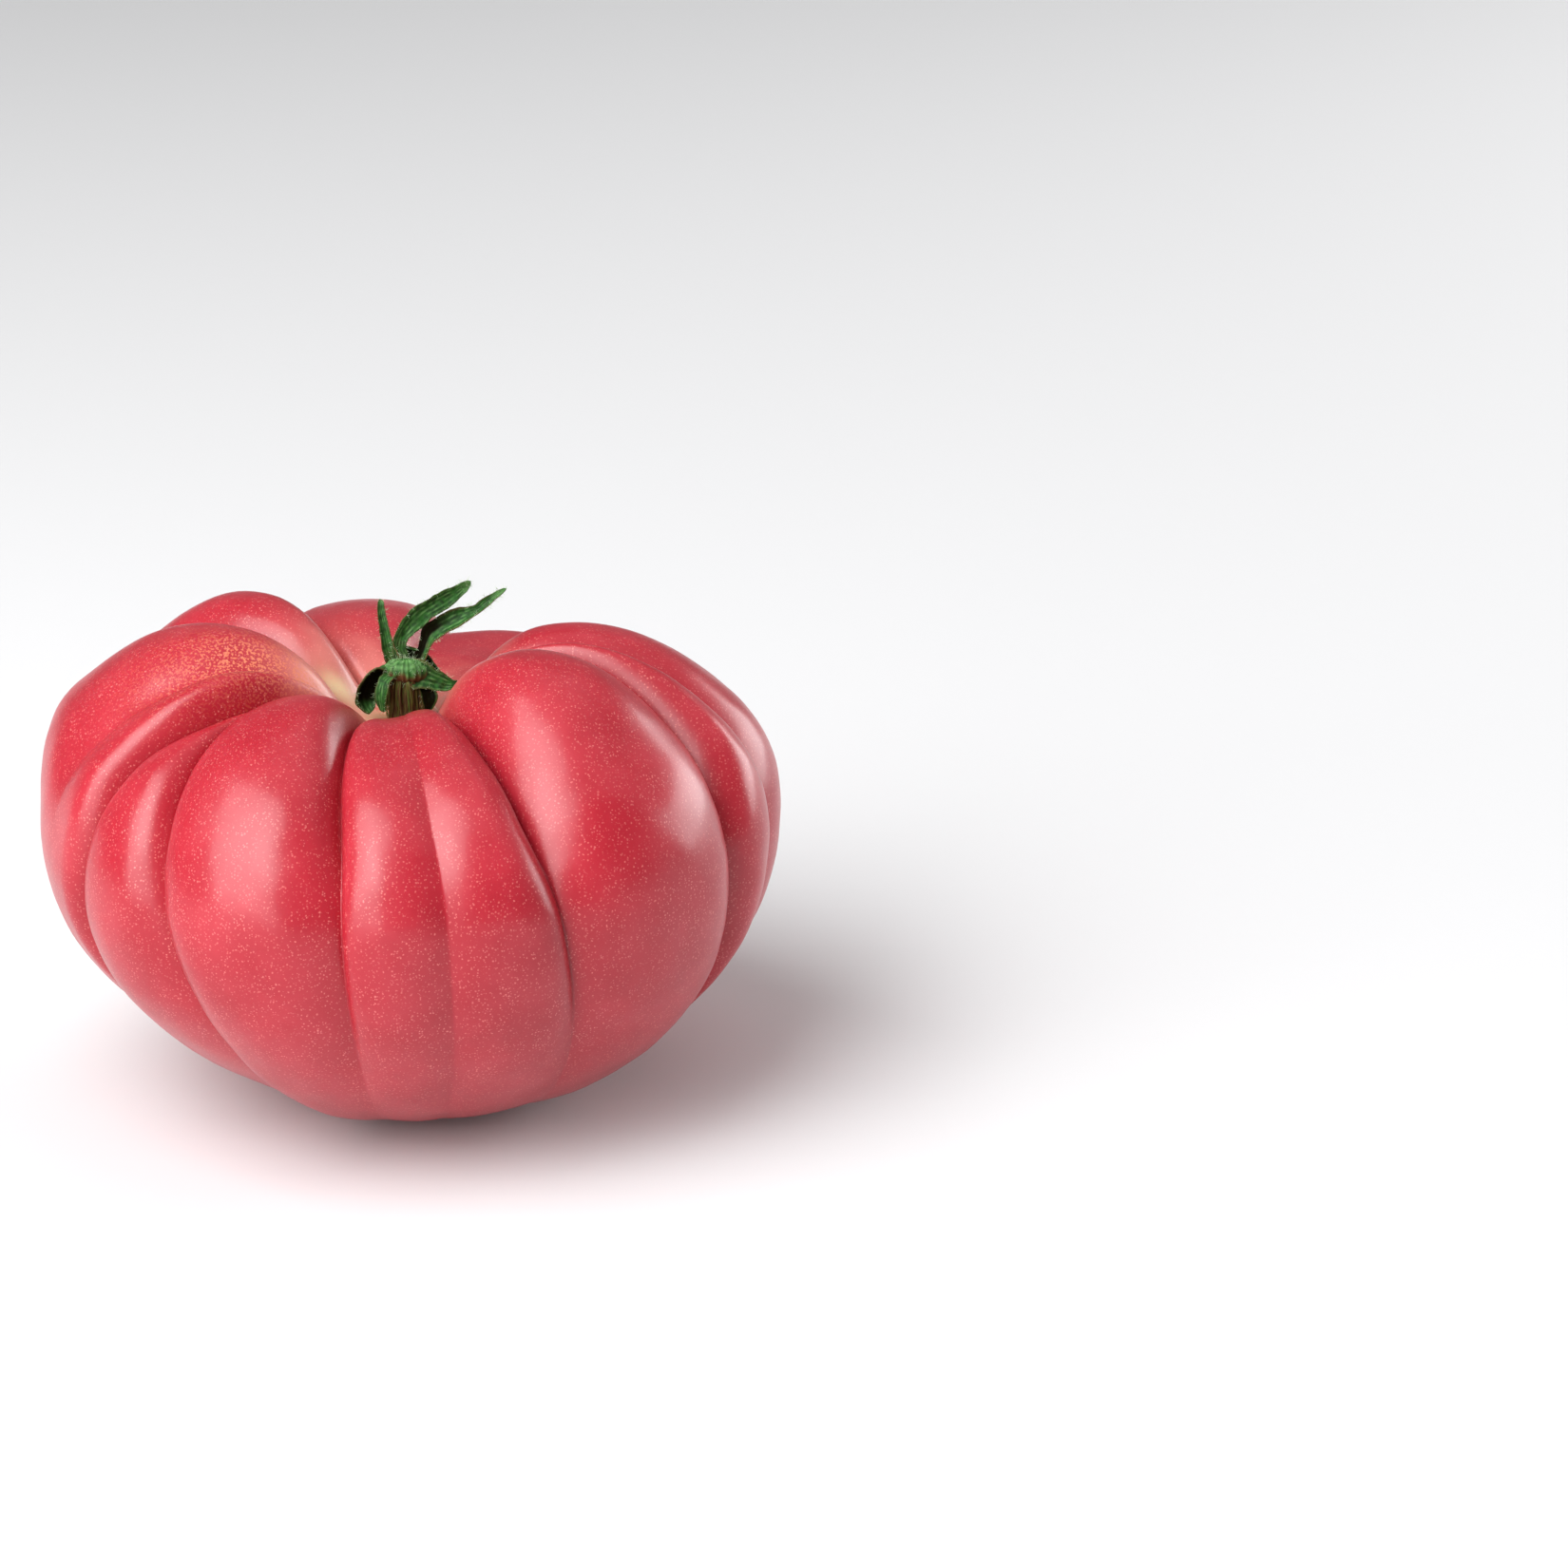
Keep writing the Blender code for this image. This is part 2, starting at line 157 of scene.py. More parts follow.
def smooth_curve(places: Any, values: Any, at: Array) -> Array:
    """Read a natural cubic spline through (places, values) at the places asked for.

    Args:
        places: increasing numbers, one for each value.
        values: numbers or points.
        at: an array of places to read.

    Returns:
        One value or point for each place asked for.
    """
    x = np.asarray(places, float)
    y = np.asarray(values, float)
    rows = y.reshape(len(x), -1)
    step = np.diff(x)
    system = np.eye(len(x))
    right_side = np.zeros_like(rows)
    for i in range(1, len(x) - 1):
        system[i, i - 1:i + 2] = step[i - 1], 2 * (step[i - 1] + step[i]), step[i]
        right_side[i] = 6 * ((rows[i + 1] - rows[i]) / step[i] - (rows[i] - rows[i - 1]) / step[i - 1])
    bend = np.linalg.solve(system, right_side)
    at = np.asarray(at, float)
    k = np.clip(np.searchsorted(x, at, side="right") - 1, 0, len(x) - 2)
    past = (at - x[k])[..., None]
    left = (x[k + 1] - at)[..., None]
    span = step[k][..., None]
    curve = (bend[k] * left**3 + bend[k + 1] * past**3) / (6 * span)
    curve += (rows[k] / span - bend[k] * span / 6) * left
    curve += (rows[k + 1] / span - bend[k + 1] * span / 6) * past
    return curve.reshape(at.shape + y.shape[1:])


def eased(places: Any, values: Any, at: Array) -> Array:
    """Read values joined by half waves of a cosine, so that the curve lies level at each place.

    Args:
        places: increasing numbers, one for each value.
        values: the values.
        at: an array of places to read.

    Returns:
        One value for each place asked for.
    """
    x = np.asarray(places, float)
    y = np.asarray(values, float)
    k = np.clip(np.searchsorted(x, at, side="right") - 1, 0, len(x) - 2)
    share = np.clip((at - x[k]) / (x[k + 1] - x[k]), 0, 1)
    weight = (1 - np.cos(np.pi * share)) / 2
    return y[k] * (1 - weight) + y[k + 1] * weight


def smooth_step(low: float, high: float, value: Array) -> Array:
    """Give 0 below low, 1 above high, and a smooth S between them."""
    share = np.clip((value - low) / (high - low), 0, 1)
    return share * share * (3 - 2 * share)


def unit(vectors: Array) -> Array:
    """Scale vectors to length 1 along the last axis."""
    return vectors / np.maximum(np.linalg.norm(vectors, axis=-1, keepdims=True), 1e-12)


def waves(points: Array, length: float, count: int, seed: int) -> Array:
    """Give a smooth random field: the mean of sine waves of about one length that run in random directions.

    Args:
        points: an array of points (..., 3).
        length: the waves' length, in the points' unit.
        count: how many waves are added.
        seed: the seed of the directions and phases.

    Returns:
        One value of about -1 to 1 for each point.
    """
    draw = np.random.default_rng(seed)
    ways = unit(draw.normal(size=(count, 3))) * 2 * np.pi / (length * draw.uniform(0.7, 1.4, (count, 1)))
    phases = draw.uniform(0, 2 * np.pi, count)
    return np.sin(points @ ways.T + phases).sum(-1) * math.sqrt(2 / count) * 0.6


def grid_faces(columns: int, rows: int, closed: bool, first: int = 0) -> Array:
    """Give the four-cornered faces of a grid.

    The point (column, row) has the number first + row * columns + column.

    Args:
        columns: points in a row.
        rows: rows of points.
        closed: whether the last column joins the first one.
        first: the number of the grid's first point.

    Returns:
        An array (faces, 4) of point numbers, running round each face the way that makes it face out of a grid
        whose columns run anticlockwise seen from above and whose rows run down.
    """
    across = np.arange(columns if closed else columns - 1)
    down = np.arange(rows - 1)[:, None]
    a = first + down * columns + across
    b = first + down * columns + (across + 1) % columns
    return np.stack([a, a + columns, b + columns, b], -1).reshape(-1, 4)


def fan_faces(ring: Array, tip: int, turned: bool) -> Array:
    """Give the triangles that close a ring of points to one tip point.

    Args:
        ring: the ring's point numbers.
        tip: the tip's point number.
        turned: whether the triangles run the other way round.

    Returns:
        An array (faces, 3) of point numbers.
    """
    after = np.roll(ring, -1)
    tips = np.full(len(ring), tip)
    order = (tips, after, ring) if turned else (tips, ring, after)
    return np.stack(order, -1)


class Patch(NamedTuple):
    """A part of a mesh: its points in millimetres, its faces, and its marks, numbers at the points."""

    points: Array
    faces: list[Array]
    marks: dict[str, Array]


def join_patches(patches: list[Patch]) -> Patch:
    """Put several patches into one, without joining their points."""
    start = np.cumsum([0] + [len(p.points) for p in patches[:-1]])
    return Patch(
        np.concatenate([p.points for p in patches]),
        [face + first for p, first in zip(patches, start) for face in p.faces],
        {name: np.concatenate([p.marks[name] for p in patches]) for name in patches[0].marks},
    )


def make_piece(name: str, patch: Patch, material: bpy.types.Material) -> bpy.types.Object:
    """Make a smooth-shaded object of a patch, riding on the root body.

    Args:
        name: the piece's name.
        patch: its points in millimetres, faces and marks.
        material: its finish.

    Returns:
        The new object, at the origin.
    """
    mesh = bpy.data.meshes.new(name)
    sizes = np.concatenate([np.full(len(group), group.shape[1]) for group in patch.faces])
    corners = np.concatenate([group.ravel() for group in patch.faces])
    mesh.vertices.add(len(patch.points))
    mesh.vertices.foreach_set("co", (patch.points * MM).astype(np.float32).ravel())
    mesh.loops.add(len(corners))
    mesh.loops.foreach_set("vertex_index", corners.astype(np.int32))
    mesh.polygons.add(len(sizes))
    mesh.polygons.foreach_set("loop_start", np.concatenate([[0], np.cumsum(sizes)[:-1]]).astype(np.int32))
    mesh.polygons.foreach_set("use_smooth", np.ones(len(sizes), bool))
    mesh.update(calc_edges=True)
    mesh.validate()
    for mark, values in patch.marks.items():
        layer = mesh.attributes.new(mark, "FLOAT", "POINT")
        layer.data.foreach_set("value", values.astype(np.float32).ravel())
    mesh.materials.append(material)
    thing = bpy.data.objects.new(name, mesh)
    bpy.context.scene.collection.objects.link(thing)
    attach(thing, "root")
    triangles = int((sizes - 2).sum())
    LOG.info("%s: %d points, %d triangles", name, len(patch.points), triangles)
    return thing


@dataclass(frozen=True)
class SkinFinish:
    """The skin of a ripe pink tomato: a clear, faintly waxy film over crimson flesh.

    The film gives soft-edged highlights and pale rims, and the flesh below lets light in, so the creases stay
    red, and a painted shade darkens them. Small pale freckles, cells that never coloured, lie under half a
    millimetre apart. On the shoulder of the left rib they run together into golden flecks, and the wall of
    the stem pit is pale; beside the left rib a patch of painted light lifts the wall where it lies in shade.
    """

    ripe: str = "#a51c2b"
    crease_shade: str = "#9c1423"
    rosy: str = "#b52e3b"
    # The dark red of the painted shade in the creases.
    freckle: str = "#ee9189"
    gold: str = "#df8560"
    # The pit wall's own pale colour, also used for the painted light on the wall by the left rib.
    pale: str = "#ec9a8c"
    cream: str = "#f2dcae"
    cork: str = "#a98258"
    mottle_mm: float = 9.0
    freckle_mm: float = 0.38
    freckle_reach: tuple[float, float] = (0.18, 0.48)
    freckle_strength: float = 0.6
    fleck_mm: float = 0.36
    pore_mm: float = 0.35
    roughness: float = 0.34
    coat: float = 0.2
    coat_roughness: float = 0.2
    scatter: float = 0.22
    scatter_mm: float = 2.2

    def material(self) -> bpy.types.Material:
        """Make the skin's material."""
        material, tree, shader = new_material("waxy_tomato_skin")
        place = add_node(tree, "ShaderNodeTexCoord").outputs["Object"]
        marks = {name: add_node(tree, "ShaderNodeAttribute", attribute_name=name).outputs["Fac"]
                 for name in ("crease", "pale", "gold", "cream", "cork", "freckled")}
        mottle = add_node(tree, "ShaderNodeTexNoise", {
            "Vector": place, "Scale": 1 / (self.mottle_mm * MM), "Detail": 3.0, "Roughness": 0.6})
        rosy = add_node(tree, "ShaderNodeMapRange", {
            "Value": mottle.outputs["Fac"], "From Min": 0.35, "From Max": 0.7, "To Max": 0.75})
        grain = add_node(tree, "ShaderNodeTexNoise", {
            "Vector": place, "Scale": 1 / (self.pore_mm * MM), "Detail": 2.0, "Roughness": 0.6})
        bend = add_node(tree, "ShaderNodeVectorMath", {
            0: add_node(tree, "ShaderNodeTexNoise", {
                "Vector": place, "Scale": 1.6 / (self.freckle_mm * MM), "Detail": 0.0}).outputs["Color"],
            1: (self.freckle_mm * MM * 0.5,) * 3}, operation="MULTIPLY")
        bent = add_node(tree, "ShaderNodeVectorMath", {0: place, 1: bend.outputs[0]}, operation="ADD")
        cells = add_node(tree, "ShaderNodeTexVoronoi", {
            "Vector": bent.outputs[0], "Scale": 1 / (self.freckle_mm * MM), "Randomness": 1.0})
        size = add_node(tree, "ShaderNodeSeparateColor", {"Color": cells.outputs["Color"]})
        reach = add_node(tree, "ShaderNodeMapRange", {
            "Value": size.outputs["Red"], "To Min": self.freckle_reach[0], "To Max": self.freckle_reach[1]})
        dots = add_node(tree, "ShaderNodeMapRange", {
            "Value": cells.outputs["Distance"], "From Min": reach.outputs[0], "From Max": 0.08,
            "To Max": self.freckle_strength}, interpolation_type="SMOOTHSTEP")
        shown = add_node(tree, "ShaderNodeMath", {
            0: dots.outputs[0], 1: marks["freckled"]}, operation="MULTIPLY")
        worms = add_node(tree, "ShaderNodeTexNoise", {
            "Vector": place, "Scale": 1 / (self.fleck_mm * MM), "Detail": 1.0, "Roughness": 0.5})
        fleck = add_node(tree, "ShaderNodeMapRange", {
            "Value": worms.outputs["Fac"], "From Min": 0.49, "From Max": 0.60},
            interpolation_type="SMOOTHSTEP")
        golden = add_node(tree, "ShaderNodeMath", {
            0: fleck.outputs[0], 1: marks["gold"]}, operation="MULTIPLY")
        layers = (
            (self.rosy, rosy.outputs[0]),
            # Painted shade: the skin darkens close to the creases, most where they sink furthest.
            (self.crease_shade, marks["crease"]),
            # The pit wall's pale skin, with painted light by the left rib.
            (self.pale, marks["pale"]),
            (self.gold, golden.outputs[0]),
            (self.cream, marks["cream"]),
            (self.freckle, shown.outputs[0]),
            (self.cork, marks["cork"]),
        )
        tree.links.new(lay_tints(tree, self.ripe, layers), shader.inputs["Base Color"])
        relief = add_node(tree, "ShaderNodeMath", {
            0: dots.outputs[0], 1: 0.5, 2: grain.outputs["Fac"]}, operation="MULTIPLY_ADD")
        bump = add_node(tree, "ShaderNodeBump", {
            "Height": relief.outputs[0], "Strength": 0.5, "Distance": 0.00004})
        tree.links.new(bump.outputs[0], shader.inputs["Normal"])
        set_inputs(shader, {
            "Roughness": self.roughness, "IOR": 1.45,
            "Coat Weight": self.coat, "Coat Roughness": self.coat_roughness,
            "Subsurface Weight": self.scatter, "Subsurface Radius": (1.0, 0.28, 0.22),
            "Subsurface Scale": self.scatter_mm * MM})
        return material


@dataclass(frozen=True)
class LeafFinish:
    """A drying sepal: a matt green blade with fine veins, browned at its rim and root, with painted shade
    where it lies in shade.
    """

    green: str = "#205716"
    light: str = "#6fa05c"
    shade: str = "#0b2a06"
    brown: str = "#56321a"
    # The near-black of the painted shade on the sepals and in the disc's hollow.
    painted_shade_colour: str = "#0d0703"
    vein_mm: float = 0.5

    def material(self) -> bpy.types.Material:
        """Make the sepals' material."""
        material, tree, shader = new_material("downy_sepal")
        place = add_node(tree, "ShaderNodeTexCoord").outputs["Object"]
        marks = {name: add_node(tree, "ShaderNodeAttribute", attribute_name=name).outputs["Fac"]
                 for name in ("vein", "dry", "painted_shade", "light")}
        patches = add_node(tree, "ShaderNodeTexNoise", {
            "Vector": place, "Scale": 1 / (self.vein_mm * 1.2 * MM), "Detail": 3.0, "Roughness": 0.65})
        shade = add_node(tree, "ShaderNodeMapRange", {
            "Value": patches.outputs["Fac"], "From Min": 0.38, "From Max": 0.62, "To Max": 0.85})
        layers = (
            (self.shade, shade.outputs[0]),
            (self.light, marks["vein"]),
            # Pale edges and tips of the blades, and the painted highlight on the disc's top.
            (self.light, marks["light"]),
            (self.brown, marks["dry"]),
            # Painted shade, where the sepals lie in shade and in the disc's hollow.
            (self.painted_shade_colour, marks["painted_shade"]),
        )
        tree.links.new(lay_tints(tree, self.green, layers), shader.inputs["Base Color"])
        # Where shade is painted, the blade reflects a tenth of what the green blade does, so the painted
        # shade stays dark.
        shine = add_node(tree, "ShaderNodeMapRange", {
            "Value": marks["painted_shade"], "To Min": 0.5, "To Max": 0.05})
        tree.links.new(shine.outputs[0], shader.inputs["Specular IOR Level"])
        bump = add_node(tree, "ShaderNodeBump", {
            "Height": patches.outputs["Fac"], "Strength": 0.6, "Distance": 0.0001})
        tree.links.new(bump.outputs[0], shader.inputs["Normal"])
        set_inputs(shader, {
            "Roughness": 0.65, "IOR": 1.36, "Subsurface Weight": 0.1,
            "Subsurface Radius": (0.3, 0.6, 0.15), "Subsurface Scale": 0.0004})
        return material


@dataclass(frozen=True)
class StalkFinish:
    """The torn stub of a tomato stalk: stringy fibres, olive green where fresh and brown where dried."""

    olive: str = "#5a5a1e"
    brown: str = "#4a2c10"
    fresh: str = "#4c7a2a"
    straw: str = "#a08a4a"
    fibre_mm: float = 0.28

    def material(self) -> bpy.types.Material:
        """Make the stalk's material."""
        material, tree, shader = new_material("stringy_stalk")
        place = add_node(tree, "ShaderNodeTexCoord").outputs["Object"]
        drawn = add_node(tree, "ShaderNodeMapping", {"Vector": place, "Scale": (1.0, 1.0, 0.16)})
        strand = add_node(tree, "ShaderNodeTexNoise", {
            "Vector": drawn.outputs[0], "Scale": 1 / (self.fibre_mm * 2 * MM),
            "Detail": 3.0, "Roughness": 0.6})
        tone = add_node(tree, "ShaderNodeAttribute", attribute_name="tone").outputs["Fac"]
        brown = add_node(tree, "ShaderNodeMapRange", {
            "Value": strand.outputs["Fac"], "From Min": 0.34, "From Max": 0.52})
        straw = add_node(tree, "ShaderNodeMapRange", {
            "Value": strand.outputs["Fac"], "From Min": 0.6, "From Max": 0.7, "To Max": 0.6})
        layers = ((self.brown, brown.outputs[0]), (self.fresh, tone), (self.straw, straw.outputs[0]))
        tree.links.new(lay_tints(tree, self.olive, layers), shader.inputs["Base Color"])
        bump = add_node(tree, "ShaderNodeBump", {
            "Height": strand.outputs["Fac"], "Strength": 0.8, "Distance": 0.00015})
        tree.links.new(bump.outputs[0], shader.inputs["Normal"])
        set_inputs(shader, {"Roughness": 0.75, "IOR": 1.45})
        return material


@dataclass(frozen=True)
class HairFinish:
    """The down on the calyx: colourless hairs that catch the light."""

    pale: str = "#c9d8b4"
    green: str = "#8fb37c"

    def material(self) -> bpy.types.Material:
        """Make the hairs' material."""
        material, tree, shader = new_material("pale_down")
        tone = add_node(tree, "ShaderNodeAttribute", attribute_name="tone").outputs["Fac"]
        colour = add_node(tree, "ShaderNodeMix", {
            MIX_FACTOR: tone, MIX_A: to_linear(self.green), MIX_B: to_linear(self.pale)}, data_type="RGBA")
        tree.links.new(colour.outputs[MIX_RESULT], shader.inputs["Base Color"])
        set_inputs(shader, {"Roughness": 0.45, "IOR": 1.5, "Sheen Weight": 0.2})
        return material


@dataclass(frozen=True)
class FloorFinish:
    """White studio paper: matt and even."""

    white: str = "#dcdcdd"

    def material(self) -> bpy.types.Material:
        """Make the floor's material."""
        material, tree, shader = new_material("white_studio_paper")
        place = add_node(tree, "ShaderNodeTexCoord").outputs["Object"]
        fibre = add_node(tree, "ShaderNodeTexNoise", {"Vector": place, "Scale": 900.0, "Detail": 2.0})
        bump = add_node(tree, "ShaderNodeBump", {
            "Height": fibre.outputs["Fac"], "Strength": 0.05, "Distance": 0.0001})
        tree.links.new(bump.outputs[0], shader.inputs["Normal"])
        set_inputs(shader, {"Base Color": to_linear(self.white), "Roughness": 0.9, "IOR": 1.3})
        return material


# Places along the fruit's half section, counted in its points.
PIT_MIDDLE, PIT_WALL, CREST, SHOULDER = 0, 1, 3.4, 4.7
GIRTH, UNDERSIDE_HIGH, UNDERSIDE, FLAT_RIM = 6, 7.5, 8.3, 10


class Rib(NamedTuple):
    """One rib of the fruit and the crease on its left, seen from outside.

    azimuth: the crease's direction from the front, in degrees, at the pit wall, crest, shoulder, girth, upper
        underside and flat spot.
    crease: its depth below the meridian at the pit wall, crest, shoulder, girth and underside.
    swell: the rib's height above the meridian at the crest, shoulder, girth and underside.
    crest_edges: how tight the skin turns into the crease from its left and from its right, as far down as the
        shoulder; below 0 it eases in.
    girth_edges: the same at the girth and below it.
    overhang: how far the skin on the crease's right hangs over it, or below 0 the skin on its left.
    columns: grid columns across the rib in the solid model.
    """

    name: str
    azimuth: tuple[float, ...]
    crease: tuple[float, ...]
    swell: tuple[float, ...]
    crest_edges: tuple[float, float]
    girth_edges: tuple[float, float]
    overhang: float
    columns: int


RIBS = (
    Rib("left", (-92, -110, -113, -113, -110, -100), (1.5, 5.5, 5.5, 4.5, 1.0), (4.0, 2.2, -1.4, -3.2),
        (0.8, 0.7), (0.8, 0.7), 0.0, 12),
    Rib("left_ridge", (-60, -64, -68, -70, -70, -70), (0.0, -0.2, 0.6, 1.4, 2.4), (1.4, 0.0, -1.4, -3.0),
        (-0.9, -0.9), (-0.9, -0.9), 0.0, 8),
    Rib("left_small", (-55, -51.4, -56.2, -58.6, -64, -66), (1.0, 4.0, 4.6, 4.5, 3.0),
        (-3.0, -1.1, -1.0, -1.7), (0.4, 0.9), (0.3, 0.9), 0.5, 10),
    Rib("front_left", (-48, -46.8, -41.6, -37.3, -32, -26), (1.0, 4.5, 5.0, 4.2, 1.5), (0.2, 0.2, 0.0, 0.2),
        (0.4, 0.9), (0.1, 0.9), 0.6, 16),
    Rib("front_middle", (-20, -10.5, -7.2, -6.0, -5.5, -6), (1.8, 5.4, 5.4, 3.0, 0.1), (-2.5, -0.6, 0.0, 0.2),
        (0.5, 0.8), (0.1, 0.8), 0.4, 8),
    Rib("front_middle_right", (3, 8.5, 9.2, 10.2, 11, 11), (0.0, 2.0, 1.6, 1.2, 0.1), (-1.2, -0.3, 0.1, 0.2),
        (-0.8, -0.2), (-0.8, -0.4), 0.0, 8),
    Rib("front_right", (18, 26, 26.7, 29, 33.4, 37), (1.8, 6.6, 5.6, 3.2, 0.1), (4.4, 1.8, 0.5, 0.4),
        (0.5, 0.5), (0.5, 0.2), -0.3, 18),
    Rib("right_thin", (84, 80, 73, 68, 74, 79), (1.5, 6.0, 6.0, 4.5, 1.2), (1.8, 0.9, 0.0, -0.4),
        (0.9, 0.3), (0.9, 0.3), -0.3, 8),
    Rib("right", (97, 92, 90, 87, 80.5, 84), (1.5, 5.0, 5.0, 4.5, 1.2), (1.0, 0.8, 1.7, 1.6),
        (0.9, 0.4), (0.9, 0.4), -0.5, 12),
    Rib("back_right", (128, 128, 126, 124, 124, 124), (1.5, 6.0, 6.0, 4.0, 0.8), (-7.0, -3.4, -0.6, 0.4),
        (0.8, 0.8), (0.8, 0.8), 0.0, 14),
    Rib("back", (178, 174, 172, 172, 172, 172), (1.5, 6.0, 6.0, 4.0, 0.8), (-1.6, -0.4, 0.0, 0.0),
        (0.6, 0.9), (0.6, 0.9), 0.3, 14),
    Rib("back_left", (216, 213, 210, 208, 210, 212), (1.5, 6.0, 5.5, 4.0, 0.8), (3.0, 2.0, 0.2, -1.0),
        (0.9, 0.5), (0.9, 0.5), -0.3, 14),
)

# How flat the ribs' tops are: 2 is a parabola.
ARCH = 2.4


class Spot(NamedTuple):
    """A soft-edged patch on the skin, in millimetres: its middle, and its half sizes along x, y and z."""

    middle: tuple[float, float, float]
    half_size: tuple[float, float, float]
    strength: float

    def cover(self, points: Array) -> Array:
        """Give the patch's strength at points: a bell curve of the distance from its middle."""
        away = (points - np.array(self.middle)) / np.array(self.half_size)
        return self.strength * np.exp(-(away**2).sum(-1))


@dataclass
class FruitSkin:
    """The fruit's skin: ribs side by side, the pit's floor, and the underside with the blossom's scar."""

    finish: SkinFinish
    meridian: tuple[tuple[float, float], ...] = (
        (1.5, 50.4), (6.5, 51.2), (10.5, 54.6), (20.0, 59.6), (33.5, 57.6), (44.3, 50.0),
        (49.4, 38.0), (45.6, 22.3), (34.5, 9.4), (23.0, 2.9), (13.5, 0.0))
    lean: tuple[float, ...] = (-0.4, -0.6, -1.8, -0.9, 0.0, 0.0)
    pit_floor_height: float = 50.3
    low_tightness: float = -0.8
    overhang_reach: float = 0.3
    overhang_full_depth: float = 3.0
    overhang_full_width: float = 8.0
    ribs: tuple[Rib, ...] = RIBS
    # Three to four columns of the fine grid stand in each of the solid's.
    columns_factor: float = 3.4
    rows_per_span: int = 16
    base_rows: int = 14
    # The blossom's scar, a small dimple in the middle of the flat spot.
    scar_radius: float = 5.0
    scar_depth: float = 1.3
    # How much of the columns' spacing is even. The rest draws them towards the creases.
    even_spacing: float = 0.35
    # The soft random field that moves the skin: its height, and its long and short waves.
    unevenness: float = 0.10
    long_wave: float = 14.0
    short_wave: float = 6.0
    short_share: float = 0.4
    heart_height: float = 30.0
    # Places along the half section between which that field comes in, and goes out again.
    field_in: tuple[float, float] = (0.5, 3.0)
    field_out: tuple[float, float] = (8.5, 9.8)
    # Distances from the pit's middle: the skin is pale on the wall, creamy and corky nearer the stalk.
    blotch_length: float = 5.0
    wall_fades: tuple[float, float] = (8.0, 19.0)
    cream_radius: float = 6.0
    cork_radius: float = 4.6
    # Heights between which the marks of the pit give way to those of the underside.
    upper_part: tuple[float, float] = (45.0, 48.0)
    # How far from a crease the painted shade darkens the skin, and the depth of a crease that gets the full
    # painted shade.
    shade_reach: float = 1.3
    shade_depth: float = 3.0
    gold: tuple[Spot, ...] = (
        Spot((-20.5, -7.5, 60.5), (6.0, 5.0, 8.0), 0.75),
        Spot((-28.0, -10.0, 59.0), (8.0, 7.0, 8.0), 0.25),
        Spot((-13.0, -5.0, 57.0), (5.0, 4.0, 6.0), 0.6),
    )
    cream: Spot = Spot((-9.5, 3.2, 54.0), (3.2, 1.3, 3.0), 0.8)
    # Patches that make the pit's wall paler. The first, by the left rib, is painted light on skin that lies
    # in shade there.
    pale: tuple[Spot, ...] = (
        Spot((-13.0, -4.5, 57.0), (5.0, 4.0, 5.0), 0.6),
        Spot((-12.0, 11.0, 56.0), (6.0, 8.0, 6.0), 0.25),
    )
    # A small pale spot on the wall of the pit, left of the stalk, in the cork's colour.
    pale_spot_on_wall: Spot = Spot((-9.1, -0.8, 53.0), (0.8, 0.9, 1.3), 0.95)

    def section(self, at: Array) -> tuple[Array, Array]:
        """Give the half section's points and its outward normals at the places asked for."""
        places = np.arange(len(self.meridian))
        nudge = 0.001
        point = smooth_curve(places, self.meridian, at)
        before = smooth_curve(places, self.meridian, np.clip(at - nudge, 0, places[-1]))
        after = smooth_curve(places, self.meridian, np.clip(at + nudge, 0, places[-1]))
        along = after - before
        return point, unit(np.stack([-along[..., 1], along[..., 0]], -1))

    def crease_azimuth(self, number: int, at: Array) -> Array:
        """Give a crease's azimuths in radians, counted from the first rib's crease and on round the fruit."""
        turns, index = divmod(number, len(self.ribs))
        stations = (PIT_WALL, CREST, SHOULDER, GIRTH, UNDERSIDE_HIGH, FLAT_RIM)
        return np.radians(smooth_curve(stations, np.add(self.ribs[index].azimuth, 360 * turns), at))

    def crease_depth(self, number: int, at: Array) -> Array:
        """Give a crease's depth below the meridian along it."""
        stations = (PIT_MIDDLE, PIT_WALL, CREST, SHOULDER, GIRTH, UNDERSIDE, FLAT_RIM)
        return eased(stations, (0, *self.ribs[number % len(self.ribs)].crease, 0), at)

    def tightness(self, number: int, side: int, at: Array) -> Array:
        """Give how tight the skin turns into a crease along it, from its left (side 0) or right (side 1)."""
        rib = self.ribs[number % len(self.ribs)]
        values = (rib.crest_edges[side], rib.girth_edges[side], self.low_tightness)
        return eased((SHOULDER, GIRTH, UNDERSIDE), values, at)

    @staticmethod
    def rise(share: Array, tightness: Array) -> Array:
        """Give the share of the height from a crease to a rib's top: a flat-topped arch raised to a power."""
        return (1 - (1 - np.clip(share, 0, 1)) ** ARCH) ** (1 - 0.5 * tightness)

    def overhang(self, size: float, share: Array, depth: Array, width: Array) -> Array:
        """Give the sideways push of the skin beside a crease: a half wave across the foot of the rib.

        Args:
            size: the push where it is full, in millimetres.
            share: how far from the crease to the rib's top.
            depth: the crease's depth.
            width: the width of the narrower rib beside it.

        Returns:
            The push in millimetres. It fades where the crease is shallow or a rib beside it is narrow.
        """
        wave = np.sin(np.pi / 2 * np.clip(share / self.overhang_reach, 0, 2))
        room = np.clip(depth / self.overhang_full_depth, 0, 1)
        return size * wave * room * np.clip(width / self.overhang_full_width, 0, 1) ** 2

